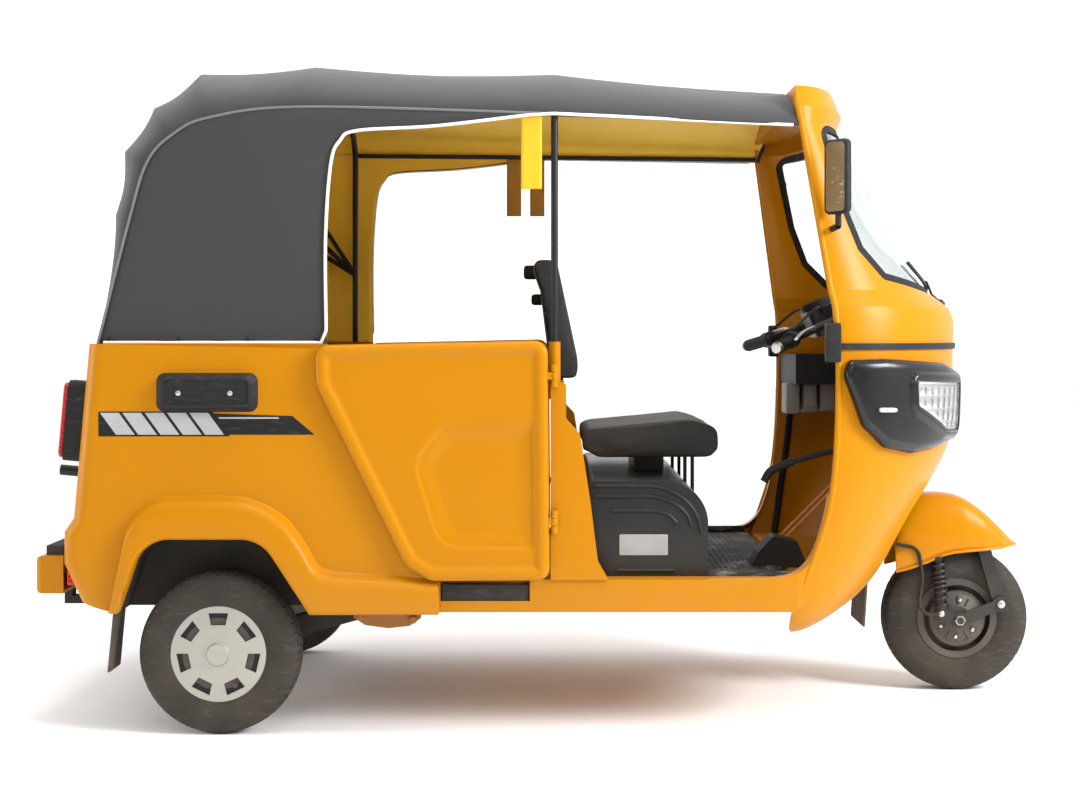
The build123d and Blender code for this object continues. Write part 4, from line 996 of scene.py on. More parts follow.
def hoodPoints():
    # bows are half ellipses from seam over crown to seam; the seam is a smooth curve, crowns run straight
    # and sink between them by a half sine, most on top, with small ripples that die out at the bows
    bows = np.array(hood["bows"])
    spans = len(bows) - 1
    s = np.linspace(0, spans, spans * hood["perBow"] + 1)
    span = np.minimum(s.astype(int), spans - 1)
    part = s - span
    row = bows[span] * (1 - part)[:, None] + bows[span + 1] * part[:, None]
    row[:, :2] = curveThrough(bows[:, :2], hood["perBow"])
    phi = np.linspace(0, np.pi, hood["across"])[None, :]
    seamX, seamZ, crownX, crownZ, half = (row[:, k][:, None] for k in range(5))
    x = seamX + (crownX - seamX) * np.sin(phi)
    z = seamZ + (crownZ - seamZ) * np.sin(phi)
    y = -half * np.cos(phi)
    dip = np.array(hood["sag"])[span][:, None] * np.sin(np.pi * part)[:, None] * np.sin(phi) ** 0.6
    wave = np.sin(9 * phi + 2.0 * s[:, None])
    ripple = hood["wrinkle"] * np.sin(np.pi * part)[:, None] * wave * np.sin(phi)
    points = np.stack(np.broadcast_arrays(x, y, z), -1)
    outward = unit(np.cross(np.gradient(points, axis=0), np.gradient(points, axis=1)))
    outward *= np.sign((outward * (points - np.array([-0.5, 0, 1.1]))).sum(-1, keepdims=True))
    return points - outward * (dip + ripple)[..., None]


hoodTopPoints = hoodPoints()
hoodFlat = np.stack(
    np.broadcast_arrays(
        np.linspace(0, pathLength(hoodTopPoints[:, hood["across"] // 2]), len(hoodTopPoints))[:, None],
        np.linspace(0, pathLength(hoodTopPoints[len(hoodTopPoints) // 2]), hood["across"])[None, :],
    ),
    -1,
)
cloths = [hoodCloth, liningCloth]
hoodTop = addSheet(
    "hoodTop", hoodTopPoints, hoodFlat, cloths, hood["thick"], "body", hood["window"]
)
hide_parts("hood_top")
r0, r1, c0, c1 = hood["window"]

# the clear rear window laps behind the hole's edge, and a flat tape binds the edge outside
lap = hood["windowLap"]
pane = hoodTopPoints[r0 - lap : r1 + lap + 1, c0 - lap : c1 + lap + 1]
paneOut = unit(np.cross(np.gradient(pane, axis=1), np.gradient(pane, axis=0)))
paneOut *= np.sign(-paneOut[..., :1])
pane = pane - paneOut * (hood["thick"] + hood["windowGap"])
paneFlat = hoodFlat[r0 - lap : r1 + lap + 1, c0 - lap : c1 + lap + 1]
rearPane = addSheet("rearPane", pane, paneFlat, [windowVinyl], hood["windowThick"], "body")
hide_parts("rear_window")
cut = hoodTopPoints[r0 : r1 + 1, c0 : c1 + 1]
tapePath = np.concatenate([cut[0], cut[1:, -1], cut[-1, -2::-1], cut[-2:0:-1, 0]])
tapePath = evenLoop(tapePath, 160)
tape = sweep(tapePath, roundRect(*hood["tape"]), up=(-1, 0, 0.15), closed=True)
addPiece("windowTape", [tape], seamCloth, "body")
print("rear window made")


def seamCurve():
    # the seam in side view, from the tub to the bow over the driver
    line = curveThrough(np.array(hood["bows"])[:, :2], hood["perBow"])
    return line[: hood["sideBows"] * hood["perBow"] + 1]


def sidePoints(side):
    # rows from the seam to the opening's edge, both cut into the same number of equal steps;
    # the cloth bellies out by a product of sines and hangs in faint vertical folds near the tub
    rear = evenPath(seamCurve(), hood["sideRows"])
    front = evenPath(curveThrough(hood["opening"], 8), hood["sideRows"])
    c = np.linspace(0, 1, hood["sideCols"])[None, :]
    flat = rear[:, None] * (1 - c[..., None]) + front[:, None] * c[..., None]
    r = np.linspace(0, 1, hood["sideRows"])[:, None]
    belly = hood["sideBelly"] * np.sin(np.pi * r) * np.sin(np.pi * c)
    fold = hood["hemFold"] * np.exp(-5 * r) * np.sin(26 * c) + hood["drift"] * np.sin(14 * r + 5 * c)
    edge = np.sin(np.pi * c) ** 0.5
    out = hood["half"] - hood["sideIn"] + belly + fold * edge - hood["edgeTuck"] * (1 - edge) * c
    return np.stack([flat[..., 0], side * out, flat[..., 1]], -1), flat


for side, word in ((-1, "right"), (1, "left")):
    points, flat = sidePoints(side)
    if side < 0:
        points, flat = points[::-1], flat[::-1]
    panel = addSheet("hoodSide_" + word, points, flat, cloths, hood["thick"], "body")
    height = float(np.ptp(flat[..., 1]))
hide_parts("hood_sides")
print("hood sides made")


def pipingPath(side):
    # the white welt: along the tub, up the opening's edge, then along the valance to the windscreen frame
    opening = curveThrough(hood["opening"], 8)
    flat = np.vstack([evenPath(hood["hem"], 40), opening[1:], evenPath(hood["valance"], 40)])
    bows = np.array(hood["bows"])[hood["sideBows"] : hood["sideBows"] + 2]
    half = np.interp(flat[:, 0], bows[:, 0], bows[:, 4])
    return np.stack([flat[:, 0], side * (half + hood["pipingOut"]), flat[:, 1]], -1)


welts = [sweep(pipingPath(side), circle(hood["piping"], 10), up=(0, 1, 0)) for side in (-1, 1)]
addPiece("hoodPiping", welts, pipingCloth, "body")
seamLine = evenPath(atDepth(seamCurve(), hood["half"]), 140)
seams = [sweep(seamLine * np.array([1, side, 1]), circle(hood["seam"], 8), up=(0, 1, 0)) for side in (-1, 1)]
addPiece("hoodSeams", seams, seamCloth, "body")
print("piping and seams made")


# Curtain straps: flat webbing with a slow curl; the two far straps carry painted shade as a darker copy of
# the strap yellow.

straps = {
    "list": [
        (-0.095, -0.042, -1, 1.377, strapYellow),
        (-0.161, -0.115, 1, 1.385, strapPaintedShade),
        (-0.087, -0.041, 1, 1.385, strapPaintedShade),
    ],
    "top": 1.566,
    "inside": 0.5905,
    "thick": 0.0025,
    "curl": 0.004,
    "curlTurn": 2.6,
    "cup": 0.002,
}
for number, (x0, x1, side, low, cloth) in enumerate(straps["list"]):
    # a strip with width along X and drop along Z, bowed inwards by a sine of the drop
    u = np.linspace(0, 1, 7)[None, :]
    v = np.linspace(0, 1, 40)[:, None]
    x = x0 + (x1 - x0) * u + 0 * v
    z = straps["top"] + (low - straps["top"]) * v + 0 * u
    bow = straps["curl"] * np.sin(straps["curlTurn"] * v) ** 2 + straps["cup"] * np.sin(np.pi * u) * v
    y = side * (straps["inside"] - bow)
    points = np.stack([x, y, z], -1)
    flat = np.stack(np.broadcast_arrays(u * (x1 - x0), v * (straps["top"] - low)), -1)
    if side < 0:
        points, flat = points[:, ::-1], flat[:, ::-1]
    strap = addSheet(
        "curtainStrap_%d" % number, points, flat, [cloth], straps["thick"], "body"
    )
    if number == 0:
        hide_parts("curtain_straps")
print("straps made")


# Seat pads: the solid is drawn in, remeshed and blown up as cloth.

pads = {
    "driver_cushion": {"shrink": 0.003, "voxel": 0.008, "pressure": 1.2, "cap": 0.0045, "fill": 0.95},
    "driver_backrest": {"shrink": 0.003, "voxel": 0.007, "pressure": 1.2, "cap": 0.0045, "fill": 0.95},
    "bench_cushion": {"shrink": 0.007, "voxel": 0.011, "pressure": 3.0, "cap": 0.012, "fill": 0.85},
    "bench_backrest": {"shrink": 0.007, "voxel": 0.011, "pressure": 3.0, "cap": 0.012, "fill": 0.85},
}
padCloth = {"frames": 20, "quality": 5, "stretch": 25, "bend": 6, "relax": 6, "lift": 0.001}


def puffPad(nodeName, look):
    # copy of the soft solid, merged and remeshed, moved in along its normals, then swollen with capped travel
    mesh = nodes[nodeName].data.copy()
    pad = bpy.data.objects.new(nodeName + "_pad", mesh)
    bpy.context.scene.collection.objects.link(pad)
    work = bmesh.new()
    work.from_mesh(mesh)
    bmesh.ops.remove_doubles(work, verts=work.verts, dist=1e-5)
    work.to_mesh(mesh)
    work.free()
    remesh = pad.modifiers.new("even", "REMESH")
    remesh.mode = "VOXEL"
    remesh.voxel_size = look["voxel"]
    flatten(pad)
    mesh = pad.data
    count = len(mesh.vertices)
    start = np.zeros(count * 3)
    normal = np.zeros(count * 3)
    mesh.vertices.foreach_get("co", start)
    mesh.vertices.foreach_get("normal", normal)
    start = start.reshape(-1, 3) - normal.reshape(-1, 3) * look["shrink"]
    mesh.vertices.foreach_set("co", start.ravel())
    swell(pad, look)
    mesh = pad.data
    moved = np.zeros(count * 3)
    mesh.vertices.foreach_get("co", moved)
    step = moved.reshape(-1, 3) - start
    far = np.linalg.norm(step, axis=1, keepdims=True)
    start = start + step * np.minimum(1, look["cap"] / np.maximum(far, 1e-9))
    low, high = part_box(nodeName)
    start[:, 2] = np.maximum(start[:, 2], low[2] + padCloth["lift"])
    mesh.vertices.foreach_set("co", start.ravel())
    relax = pad.modifiers.new("relax", "SMOOTH")
    relax.factor = 0.5
    relax.iterations = padCloth["relax"]
    smooth = pad.modifiers.new("smoothSkin", "SUBSURF")
    smooth.levels = 1
    smooth.render_levels = 1
    mesh.shade_smooth()
    mesh.materials.clear()
    mesh.materials.append(seatVinyl)
    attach(pad, "body")
    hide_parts(nodeName)


def flatten(piece):
    # live modifiers made into plain mesh
    shaped = bpy.data.meshes.new_from_object(piece.evaluated_get(bpy.context.evaluated_depsgraph_get()))
    piece.modifiers.clear()
    piece.data = shaped


def swell(piece, look):
    # a few frames of cloth with inner pressure and no gravity
    cloth = piece.modifiers.new("pressure", "CLOTH")
    cloth.settings.use_pressure = True
    cloth.settings.uniform_pressure_force = look["pressure"]
    cloth.settings.effector_weights.gravity = 0
    cloth.settings.quality = padCloth["quality"]
    cloth.settings.tension_stiffness = padCloth["stretch"]
    cloth.settings.compression_stiffness = padCloth["stretch"]
    cloth.settings.bending_stiffness = padCloth["bend"]
    cloth.point_cache.frame_start = 1
    cloth.point_cache.frame_end = padCloth["frames"]
    for number in range(1, padCloth["frames"] + 1):
        bpy.context.scene.frame_set(number)
    flatten(piece)
    bpy.context.scene.frame_set(1)


for nodeName, look in pads.items():
    puffPad(nodeName, look)
    print("pad made:", nodeName)


# Tyres: a section turned about the axle, with grooves and shoulder notches pressed into the tread.

tyreLook = {
    "outer": 0.205,
    "bead": 0.102,
    "half": 0.054,
    "beadHalf": 0.042,
    "groove": 0.006,
    "grooveAt": [-0.024, 0.0, 0.024],
    "grooveWide": 0.0035,
    "lugs": 52,
    "around": 416,
    "shoulder": 0.017,
    "crown": 0.0040,
    "zig": 0.0022,
    "notch": 0.16,
    "notchFrom": 0.030,
    "notchDeep": 0.7,
    "sipe": (0.6, 0.05, 0.028),
    "sipeDeep": 0.5,
    "waveAt": (0.078, 0.006),
    "wallWave": 0.0009,
    "wallRib": 0.0022,
    "ribWide": 0.0030,
    "ribsAt": [0.030, 0.062],
    "axleHigh": 0.205,
    "wheels": [
        ("front_tyre", 1.130, 0.0, "front_wheel"),
        ("rear_tyre_right", -0.855, -0.575, "right_rear_wheel"),
        ("rear_tyre_left", -0.855, 0.575, "left_rear_wheel"),
    ],
}


def tyrePoints(x, y):
    # rows: section from one bead over the tread to the other; columns: angle about the axle
    outer, bead, half = tyreLook["outer"], tyreLook["bead"], tyreLook["half"]
    side = [
        (-tyreLook["beadHalf"], bead), (-0.0475, bead + 0.006), (-0.0455, bead + 0.012),
        (-0.0505, bead + 0.020), (-half + 0.001, bead + 0.034), (-half, bead + 0.050),
        (-half, bead + 0.060), (-half + 0.002, bead + 0.072), (-half + 0.0055, bead + 0.084),
        (-half + 0.011, outer - 0.010), (-half + 0.015, outer - 0.0052),
    ]
    flat = half - tyreLook["shoulder"]
    crown = np.linspace(-flat, flat, 61)
    tread = np.column_stack([crown, outer - tyreLook["crown"] * (crown / flat) ** 2])
    side = np.array(side)
    section = np.vstack([side, tread, side[::-1] * np.array([-1, 1])])
    across, radius = section[:, 0][:, None], section[:, 1][:, None]
    a = np.linspace(0, 2 * np.pi, tyreLook["around"], endpoint=False)[None, :]
    onTread = np.clip((radius - (outer - 0.010)) / 0.006, 0, 1)
    zig = tyreLook["zig"] * np.abs(((a * tyreLook["lugs"] / (2 * np.pi)) % 1) * 2 - 1)
    grooves = sum(
        np.exp(-(((across - at - zig) / tyreLook["grooveWide"]) ** 4)) for at in tyreLook["grooveAt"]
    )
    lug = ((a * tyreLook["lugs"] / (2 * np.pi) + 0.2 * np.sign(across)) % 1)
    notch = (lug < tyreLook["notch"]) * (np.abs(across) > tyreLook["notchFrom"]) * (radius > outer - 0.012)
    sipeAt, sipeHalf, sipeReach = tyreLook["sipe"]
    sipe = (np.abs(lug - sipeAt) < sipeHalf) * (np.abs(across) < sipeReach)
    depth = grooves + tyreLook["notchDeep"] * notch + tyreLook["sipeDeep"] * sipe
    depth = tyreLook["groove"] * np.clip(depth, 0, 1) * onTread
    waveAt, waveWide = tyreLook["waveAt"]
    wall = np.sin(a * tyreLook["lugs"] * 2) * np.exp(-(((radius - bead - waveAt) / waveWide) ** 2))
    rib = sum(np.exp(-(((radius - bead - at) / tyreLook["ribWide"]) ** 2)) for at in tyreLook["ribsAt"])
    r = radius - depth
    relief = tyreLook["wallWave"] * wall + tyreLook["wallRib"] * rib
    out = across + np.sign(across) * relief * (np.abs(across) > tyreLook["notchFrom"])
    z = tyreLook["axleHigh"] + r * np.sin(a)
    points = np.stack(np.broadcast_arrays(x + r * np.cos(a), y + out, z), -1)
    return points.reshape(-1, 3), gridFaces(len(section), tyreLook["around"], True, True)


for word, x, y, body in tyreLook["wheels"]:
    tread = addPiece(word + "_tread", [tyrePoints(x, y)], tyreRubber, body, crease=38)
    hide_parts(word)
print("tyres made")


# Front shell, as its height, rear edge, nose and half width; every level is half an ellipse.

shell = {
    "low": [
        (0.240, 0.600, 0.690, 0.500),
        (0.330, 0.600, 0.860, 0.600),
        (0.430, 0.636, 0.932, 0.612),
        (0.560, 0.678, 1.008, 0.614),
        (0.690, 0.696, 1.085, 0.615),
        (0.860, 0.703, 1.110, 0.614),
        (0.990, 0.702, 1.109, 0.607),
        (1.080, 0.697, 1.097, 0.595),
    ],
    "high": [
        (1.122, 0.688, 1.040, 0.580), (1.561, 0.622, 0.775, 0.513), (1.600, 0.614, 0.792, 0.508),
        (1.655, 0.614, 0.768, 0.480),
    ],
    "bead": 0.0085,
    "beadIn": 0.004,
    "beadSpan": (0.262, 1.640),
}
shellRows = np.vstack([curveThrough(shell["low"], 12), shell["high"]])


def shellSection(z):
    # rear edge, nose and half width of the shell at a height
    return tuple(np.interp(z, shellRows[:, 0], shellRows[:, k]) for k in (1, 2, 3))


def shellRound(z, angle, grow):
    # point of the shell at a height and an angle from the nose, moved out by grow
    rear, nose, half = shellSection(z)
    x = rear + (nose - rear + grow) * np.cos(angle)
    return np.stack(np.broadcast_arrays(x, (half + grow) * np.sin(angle), z), -1)


def shellSide(x, z, grow):
    # the same surface, found from its side view: the ellipse solved for y, on the right
    rear, nose, half = shellSection(z)
    share = np.clip((x - rear) / (nose - rear + grow), 0, 1)
    return np.stack(np.broadcast_arrays(x, -(half + grow) * np.sqrt(1 - share**2), z), -1)


def shellEdge(side):
    # path up the cowl's rear edge
    z = np.linspace(*shell["beadSpan"], 120)
    rear, nose, half = shellSection(z)
    return np.column_stack([rear + shell["beadIn"], side * (half - shell["beadIn"]), z])


cowlBeads = [sweep(shellEdge(side), circle(shell["bead"], 12), up=(1, 0, 0)) for side in (-1, 1)]
addPiece("cowlBead", cowlBeads, bodyPaint, "body")


# Headlamps: a rounded housing that follows the shell, a raised frame, a facetted reflector and a clear cover.
# Outlines are unrolled: first number the way round from the nose, in metres at the given radius, second
# the height.

headlamp = {
    "radius": 0.55,
    "outline": [
        (0.830, 0.944), (0.701, 0.947), (0.422, 0.934), (0.274, 0.905), (0.264, 0.800),
        (0.298, 0.728), (0.446, 0.712), (0.571, 0.704), (0.691, 0.722), (0.778, 0.777),
        (0.848, 0.905),
    ],
    "corners": [0.022, 0.05, 0.04, 0.028, 0.05, 0.026, 0.05, 0.05, 0.05, 0.05, 0.034],
    "rim": [
        (0.0, -0.004), (0.0, 0.010), (0.0015, 0.0175), (0.0050, 0.0238), (0.0105, 0.0278),
        (0.0180, 0.0297), (0.0240, 0.0300),
    ],
    "middle": (0.520, 0.832),
    "lens": [(0.345, 0.886), (0.322, 0.752), (0.425, 0.757), (0.588, 0.822), (0.598, 0.894)],
    "lensCorners": [0.016, 0.014, 0.022, 0.022, 0.014],
    "lensMiddle": (0.455, 0.835),
    "frame": [
        (0.021, 0.0285), (0.018, 0.0316), (0.014, 0.0352), (0.010, 0.0372), (0.005, 0.0376),
        (0.002, 0.0370), (0.0, 0.0350), (-0.004, 0.0240),
    ],
    "sunk": 0.0105,
    "cover": [(0.0, 0.0290), (0.0, 0.0330), (0.0015, 0.0345), (0.0040, 0.0352)],
    "mirror": [(0.0005, 0.0330), (0.0060, 0.0288), (0.0100, 0.0280)],
    "facet": 0.0016,
    "bezel": 0.0046,
    "bezelHigh": 0.0350,
    "perCorner": 10,
    "perSide": 14,
    "sunkWide": 0.004,
    "facetPitch": 0.034,
    "housingRows": 90,
    "mirrorRows": 40,
    "coverRows": 24,
    "marker": [(0.806, -0.642, 0.813), (0.850, -0.610, 0.824)],
}


def lampField(outline, corners, rim, middle, inner):
    # rings set in from the outline carry the edge, and the rest shrinks to the middle at the last
    # ring's height
    rings = np.stack(
        [insetRing(outline, corners, row[0], headlamp["perCorner"], headlamp["perSide"]) for row in rim]
    )
    f = np.linspace(0, 1, inner)[1:, None, None]
    flat = np.concatenate([rings, rings[-1][None] * (1 - f) + np.array(middle) * f])
    high = np.concatenate([[row[1] for row in rim], np.full(inner - 1, rim[-1][1])])
    return flat, np.repeat(high[:, None], flat.shape[1], 1)


def onLamp(flat, high):
    # unrolled points laid on the right side of the shell
    points = shellRound(flat[..., 1], -flat[..., 0] / headlamp["radius"], high)
    return points.reshape(-1, 3), gridFaces(*flat.shape[:2], False, True)


def lensRing(inset):
    # the lens's outline drawn in, or grown where the number is below nought
    return insetRing(
        headlamp["lens"], headlamp["lensCorners"], inset, headlamp["perCorner"], headlamp["perSide"]
    )


def lensField(rim, rows):
    # the lens's outline filled to its middle
    return lampField(headlamp["lens"], headlamp["lensCorners"], rim, headlamp["lensMiddle"], rows)


def lampHousing():
    # the lens's own field is sunk by a smooth step from its outline
    rows = headlamp["housingRows"]
    flat, high = lampField(
        headlamp["outline"], headlamp["corners"], headlamp["rim"], headlamp["middle"], rows
    )
    deep = depthInside(flat.reshape(-1, 2), lensRing(0.0)) + 0.001
    sink = smoothStep(deep / headlamp["sunkWide"]) * headlamp["sunk"]
    return onLamp(flat, high - sink.reshape(high.shape))


def lampFrame():
    # rings grown from the lens's outline carry a raised frame from the housing down into the lens
    rows = headlamp["frame"]
    rings = np.stack([lensRing(-row[0]) for row in rows])
    return onLamp(rings, np.repeat(np.array([[row[1]] for row in rows]), rings.shape[1], 1))


def lampReflector():
    # the lens's outline sunk to a shallow bowl, scalloped by a product of sines
    flat, high = lensField(headlamp["mirror"], headlamp["mirrorRows"])
    scallop = np.abs(np.sin(flat * np.pi / headlamp["facetPitch"])).prod(-1)
    inside = np.clip((np.arange(len(flat)) - 2) / 4, 0, 1)[:, None]
    return onLamp(flat, high + headlamp["facet"] * scallop * inside)


def lampBezel():
    # round bead along the lens's outline
    ring = evenLoop(lensRing(0.001), 180)
    path = shellRound(ring[:, 1], -ring[:, 0] / headlamp["radius"], headlamp["bezelHigh"])
    return sweep(path, circle(headlamp["bezel"], 10), up=(0.6, -0.8, 0.1), closed=True)


def lampCover():
    # the lens's outline raised to a shallow dome
    return onLamp(*lensField(headlamp["cover"], headlamp["coverRows"]))


housings = addPiece("lampHousings", paired([lampHousing()]), lampPlastic, "body", closed=False)
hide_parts("headlamp_housings")
addPiece(
    "lampReflectors",
    paired([lampReflector()]),
    reflectorChrome,
    "body",
    crease=25,
    closed=False,
)
addPiece("lampFrames", paired([lampFrame()]), lampPlastic, "body", crease=60, closed=False)
addPiece("lampBezels", paired([lampBezel()]), lampPlastic, "body")
lampCovers = addPiece("lampCovers", paired([lampCover()]), lampGlass, "body", closed=False)
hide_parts("headlamp_lenses")
addPiece("sideMarkers", paired([roundBlock(*headlamp["marker"], 0.4)]), paleLens, "body")
print("headlamps made")


# Front mudguard: an arch carried from the tail under the nose to the beak, narrowing towards its tip.

mudguard = {
    "top": [
        (0.945, 0.440), (0.958, 0.505), (1.000, 0.548), (1.070, 0.5585), (1.140, 0.5490),
        (1.200, 0.512), (1.255, 0.461), (1.303, 0.413),
    ],
    "edge": [
        (0.950, 0.343), (0.985, 0.352), (1.035, 0.370), (1.090, 0.392), (1.140, 0.400),
        (1.200, 0.404), (1.255, 0.408), (1.303, 0.4115),
    ],
    "half": [0.094, 0.096, 0.097, 0.097, 0.096, 0.090, 0.072, 0.012],
    "square": 0.55,
    "crownSquare": 0.70,
    "rows": 90,
    "cols": 61,
    "thick": 0.004,
    "lip": 0.0045,
    "lipUp": (0, 0, 0.0005),
}


def archPoints():
    # rows along the length, columns over the arch: signed powers of cosine and sine give full,
    # rounded shoulders
    rows = mudguard["rows"]
    top = evenPath(curveThrough(mudguard["top"], 12), rows)
    edge = evenPath(curveThrough(mudguard["edge"], 12), rows)
    at = np.linspace(0, len(mudguard["half"]) - 1, rows)
    half = np.interp(at, np.arange(len(mudguard["half"])), mudguard["half"])
    phi = np.linspace(0, np.pi, mudguard["cols"])[None, :]
    wide = np.sign(np.cos(phi)) * np.abs(np.cos(phi)) ** mudguard["square"]
    high = np.abs(np.sin(phi)) ** mudguard["crownSquare"]
    x = edge[:, :1] + (top[:, :1] - edge[:, :1]) * high
    z = edge[:, 1:] + (top[:, 1:] - edge[:, 1:]) * high
    return np.stack([x, -half[:, None] * wide, z], -1)


guardGrid = archPoints()
guard = addPiece(
    "mudguardShell",
    [(guardGrid.reshape(-1, 3), gridFaces(*guardGrid.shape[:2]))],
    bodyPaint,
    "steering",
    closed=False,
)
guardWall = guard.modifiers.new("wall", "SOLIDIFY")
guardWall.thickness = mudguard["thick"]
guardWall.offset = -1
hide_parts("front_mudguard")
lipPath = np.vstack([guardGrid[:, 0], guardGrid[::-1, -1]]) + np.array(mudguard["lipUp"])
guardLip = sweep(lipPath, circle(mudguard["lip"], 8), up=(0, 0, 1))
addPiece("mudguardLip", [guardLip], bodyPaint, "steering")
print("mudguard made")


# Front wheel furniture: brake plates with bolts, coil springs and axle nuts, all on the fork.

frontGear = {
    "axle": (1.130, 0.205),
    "plate": [
        (0.030, 0.0), (0.030, 0.050), (0.040, 0.078), (0.046, 0.080), (0.050, 0.077), (0.051, 0.066),
        (0.055, 0.062), (0.057, 0.040), (0.061, 0.036), (0.061, 0.0),
    ],
    "bolts": 6,
    "boltRing": 0.052,
    "coil": 0.0175,
    "wire": 0.0036,
    "turns": 8.5,
    "coilLow": (1.077, 0.084, 0.243),
    "coilHigh": (1.0675, 0.084, 0.388),
    "ribs": 12,
    "rib": 0.003,
    "ribSpan": (0.040, 0.064),
    "ribOut": 0.0565,
    "bolt": (0.0055, 0.006),
    "boltOut": 0.057,
    "boltTurn": 0.4,
    "nut": (0.0155, 0.011),
    "armOut": 0.0842,
    "armBolts": [(1.246, 0.250, 0.011, 0.009), (1.078, 0.223, 0.009, 0.008)],
}


def helix(low, high, radius, turns, steps):
    # screw line about the axis between two points, with its end turns closed up
    low, high = np.asarray(low, float), np.asarray(high, float)
    axis = unit(high - low)
    first = unit(np.cross(axis, (0.0, 1.0, 0.0)))
    second = np.cross(axis, first)
    t = np.linspace(0, 1, steps)[:, None]
    a = 2 * np.pi * turns * t
    climb = t + 0.04 * np.sin(2 * np.pi * t)
    return low + (high - low) * climb + radius * (np.cos(a) * first + np.sin(a) * second)


def bolt(place, axis, radius, high):
    # domed head turned about its axis
    profile = [(0, 0), (0, radius), (0.6 * high, radius), (0.9 * high, 0.7 * radius), (high, 0)]
    return lathe(profile, place, axis, 10)


def hexNut(place, axis, radius, high):
    # six flats with a chamfered top
    return lathe(
        [(0, 0), (0, radius), (0.8 * high, radius), (high, 0.86 * radius), (high, 0)], place, axis, 6
    )


axleX, axleZ = frontGear["axle"]


def aroundAxle(turn, radius, out):
    # place at an angle and a radius about the front axle
    return np.array([axleX + radius * np.cos(turn), out, axleZ + radius * np.sin(turn)])


plates, brightBits, springs = [], [], []
for side in (-1, 1):
    outward = (0, side, 0)
    plates.append(lathe(frontGear["plate"], (axleX, 0, axleZ), outward, 48))
    for turn in np.linspace(0, 2 * np.pi, frontGear["ribs"], endpoint=False):
        radii = np.linspace(*frontGear["ribSpan"], 4)
        rib = np.array([aroundAxle(turn, radius, side * frontGear["ribOut"]) for radius in radii])
        plates.append(sweep(rib, circle(frontGear["rib"], 6), up=(0, 1, 0)))
    for turn in np.linspace(0, 2 * np.pi, frontGear["bolts"], endpoint=False) + frontGear["boltTurn"]:
        place = aroundAxle(turn, frontGear["boltRing"], side * frontGear["boltOut"])
        brightBits.append(bolt(place, outward, *frontGear["bolt"]))
    armOut = side * frontGear["armOut"]
    brightBits.append(hexNut((axleX, armOut, axleZ), outward, *frontGear["nut"]))
    for x, z, radius, tall in frontGear["armBolts"]:
        brightBits.append(bolt((x, armOut, z), outward, radius, tall))
    flip = np.array([1, side, 1])
    low, high = np.array(frontGear["coilLow"]) * flip, np.array(frontGear["coilHigh"]) * flip
    path = helix(low, high, frontGear["coil"], frontGear["turns"], 220)
    springs.append(sweep(path, circle(frontGear["wire"], 8), up=(0.05, 0, 1)))
addPiece("brakePlates", plates, castBlack, "steering")
addPiece("forkBolts", brightBits, brightZinc, "steering")
addPiece("coilSprings", springs, satinBlack, "steering")
print("front wheel furniture made")


# Passenger doors: a rolled rim round a flat field, with a shallow D dish pressed into it.

door = {
    "outline": [
        (-0.609, 0.982), (-0.027, 0.994), (-0.022, 0.394), (-0.321, 0.392), (-0.384, 0.432),
        (-0.606, 0.882),
    ],
    "corners": [0.035, 0.035, 0.030, 0.040, 0.060, 0.060],
    "dish": [(-0.050, 0.789), (-0.290, 0.789), (-0.368, 0.690), (-0.300, 0.469), (-0.050, 0.469)],
    "dishCorners": [0.030, 0.065, 0.080, 0.075, 0.030],
    "rim": [
        (0.0060, 0.6405),
        (0.0012, 0.6425),
        (0.0, 0.6470),
        (0.0, 0.6520),
        (0.0012, 0.6568),
        (0.0040, 0.6606),
        (0.0085, 0.6636),
        (0.0140, 0.6650),
        (0.0200, 0.6650),
        (0.0255, 0.6638),
        (0.0300, 0.6612),
        (0.0340, 0.6588),
        (0.0390, 0.6576),
    ],
    "field": 0.6573,
    "perCorner": 14,
    "perSide": 52,
    "middle": (-0.250, 0.690),
    "inner": 80,
    "pin": (-0.010, 0.655),
    "knuckles": [0.905, 0.540],
    "inside": [(-0.515, 0.945), (-0.080, 0.952), (-0.076, 0.440), (-0.325, 0.440), (-0.515, 0.845)],
    "insideCorners": [0.030, 0.030, 0.030, 0.050, 0.050],
    "brace": [(-0.470, 0.760), (-0.080, 0.760)],
    "within": 0.6402,
    "bead": 0.0045,
    "pullRound": 0.0055,
    "step": (0.0040, 0.012),
    "slope": (0.0055, 0.040),
    "knuckle": [
        (-0.009, 0.0042), (-0.009, 0.0075), (-0.0082, 0.008), (0.0082, 0.008), (0.009, 0.0075),
        (0.009, 0.0042),
    ],
    "leaf": [(-0.040, -0.0045, -0.009), (-0.003, 0.0045, 0.009)],
    "pull": [
        (-0.400, 0.6402, 0.900), (-0.398, 0.624, 0.900), (-0.380, 0.618, 0.900),
        (-0.330, 0.617, 0.900), (-0.280, 0.618, 0.900), (-0.262, 0.624, 0.900),
        (-0.260, 0.6402, 0.900),
    ],
}


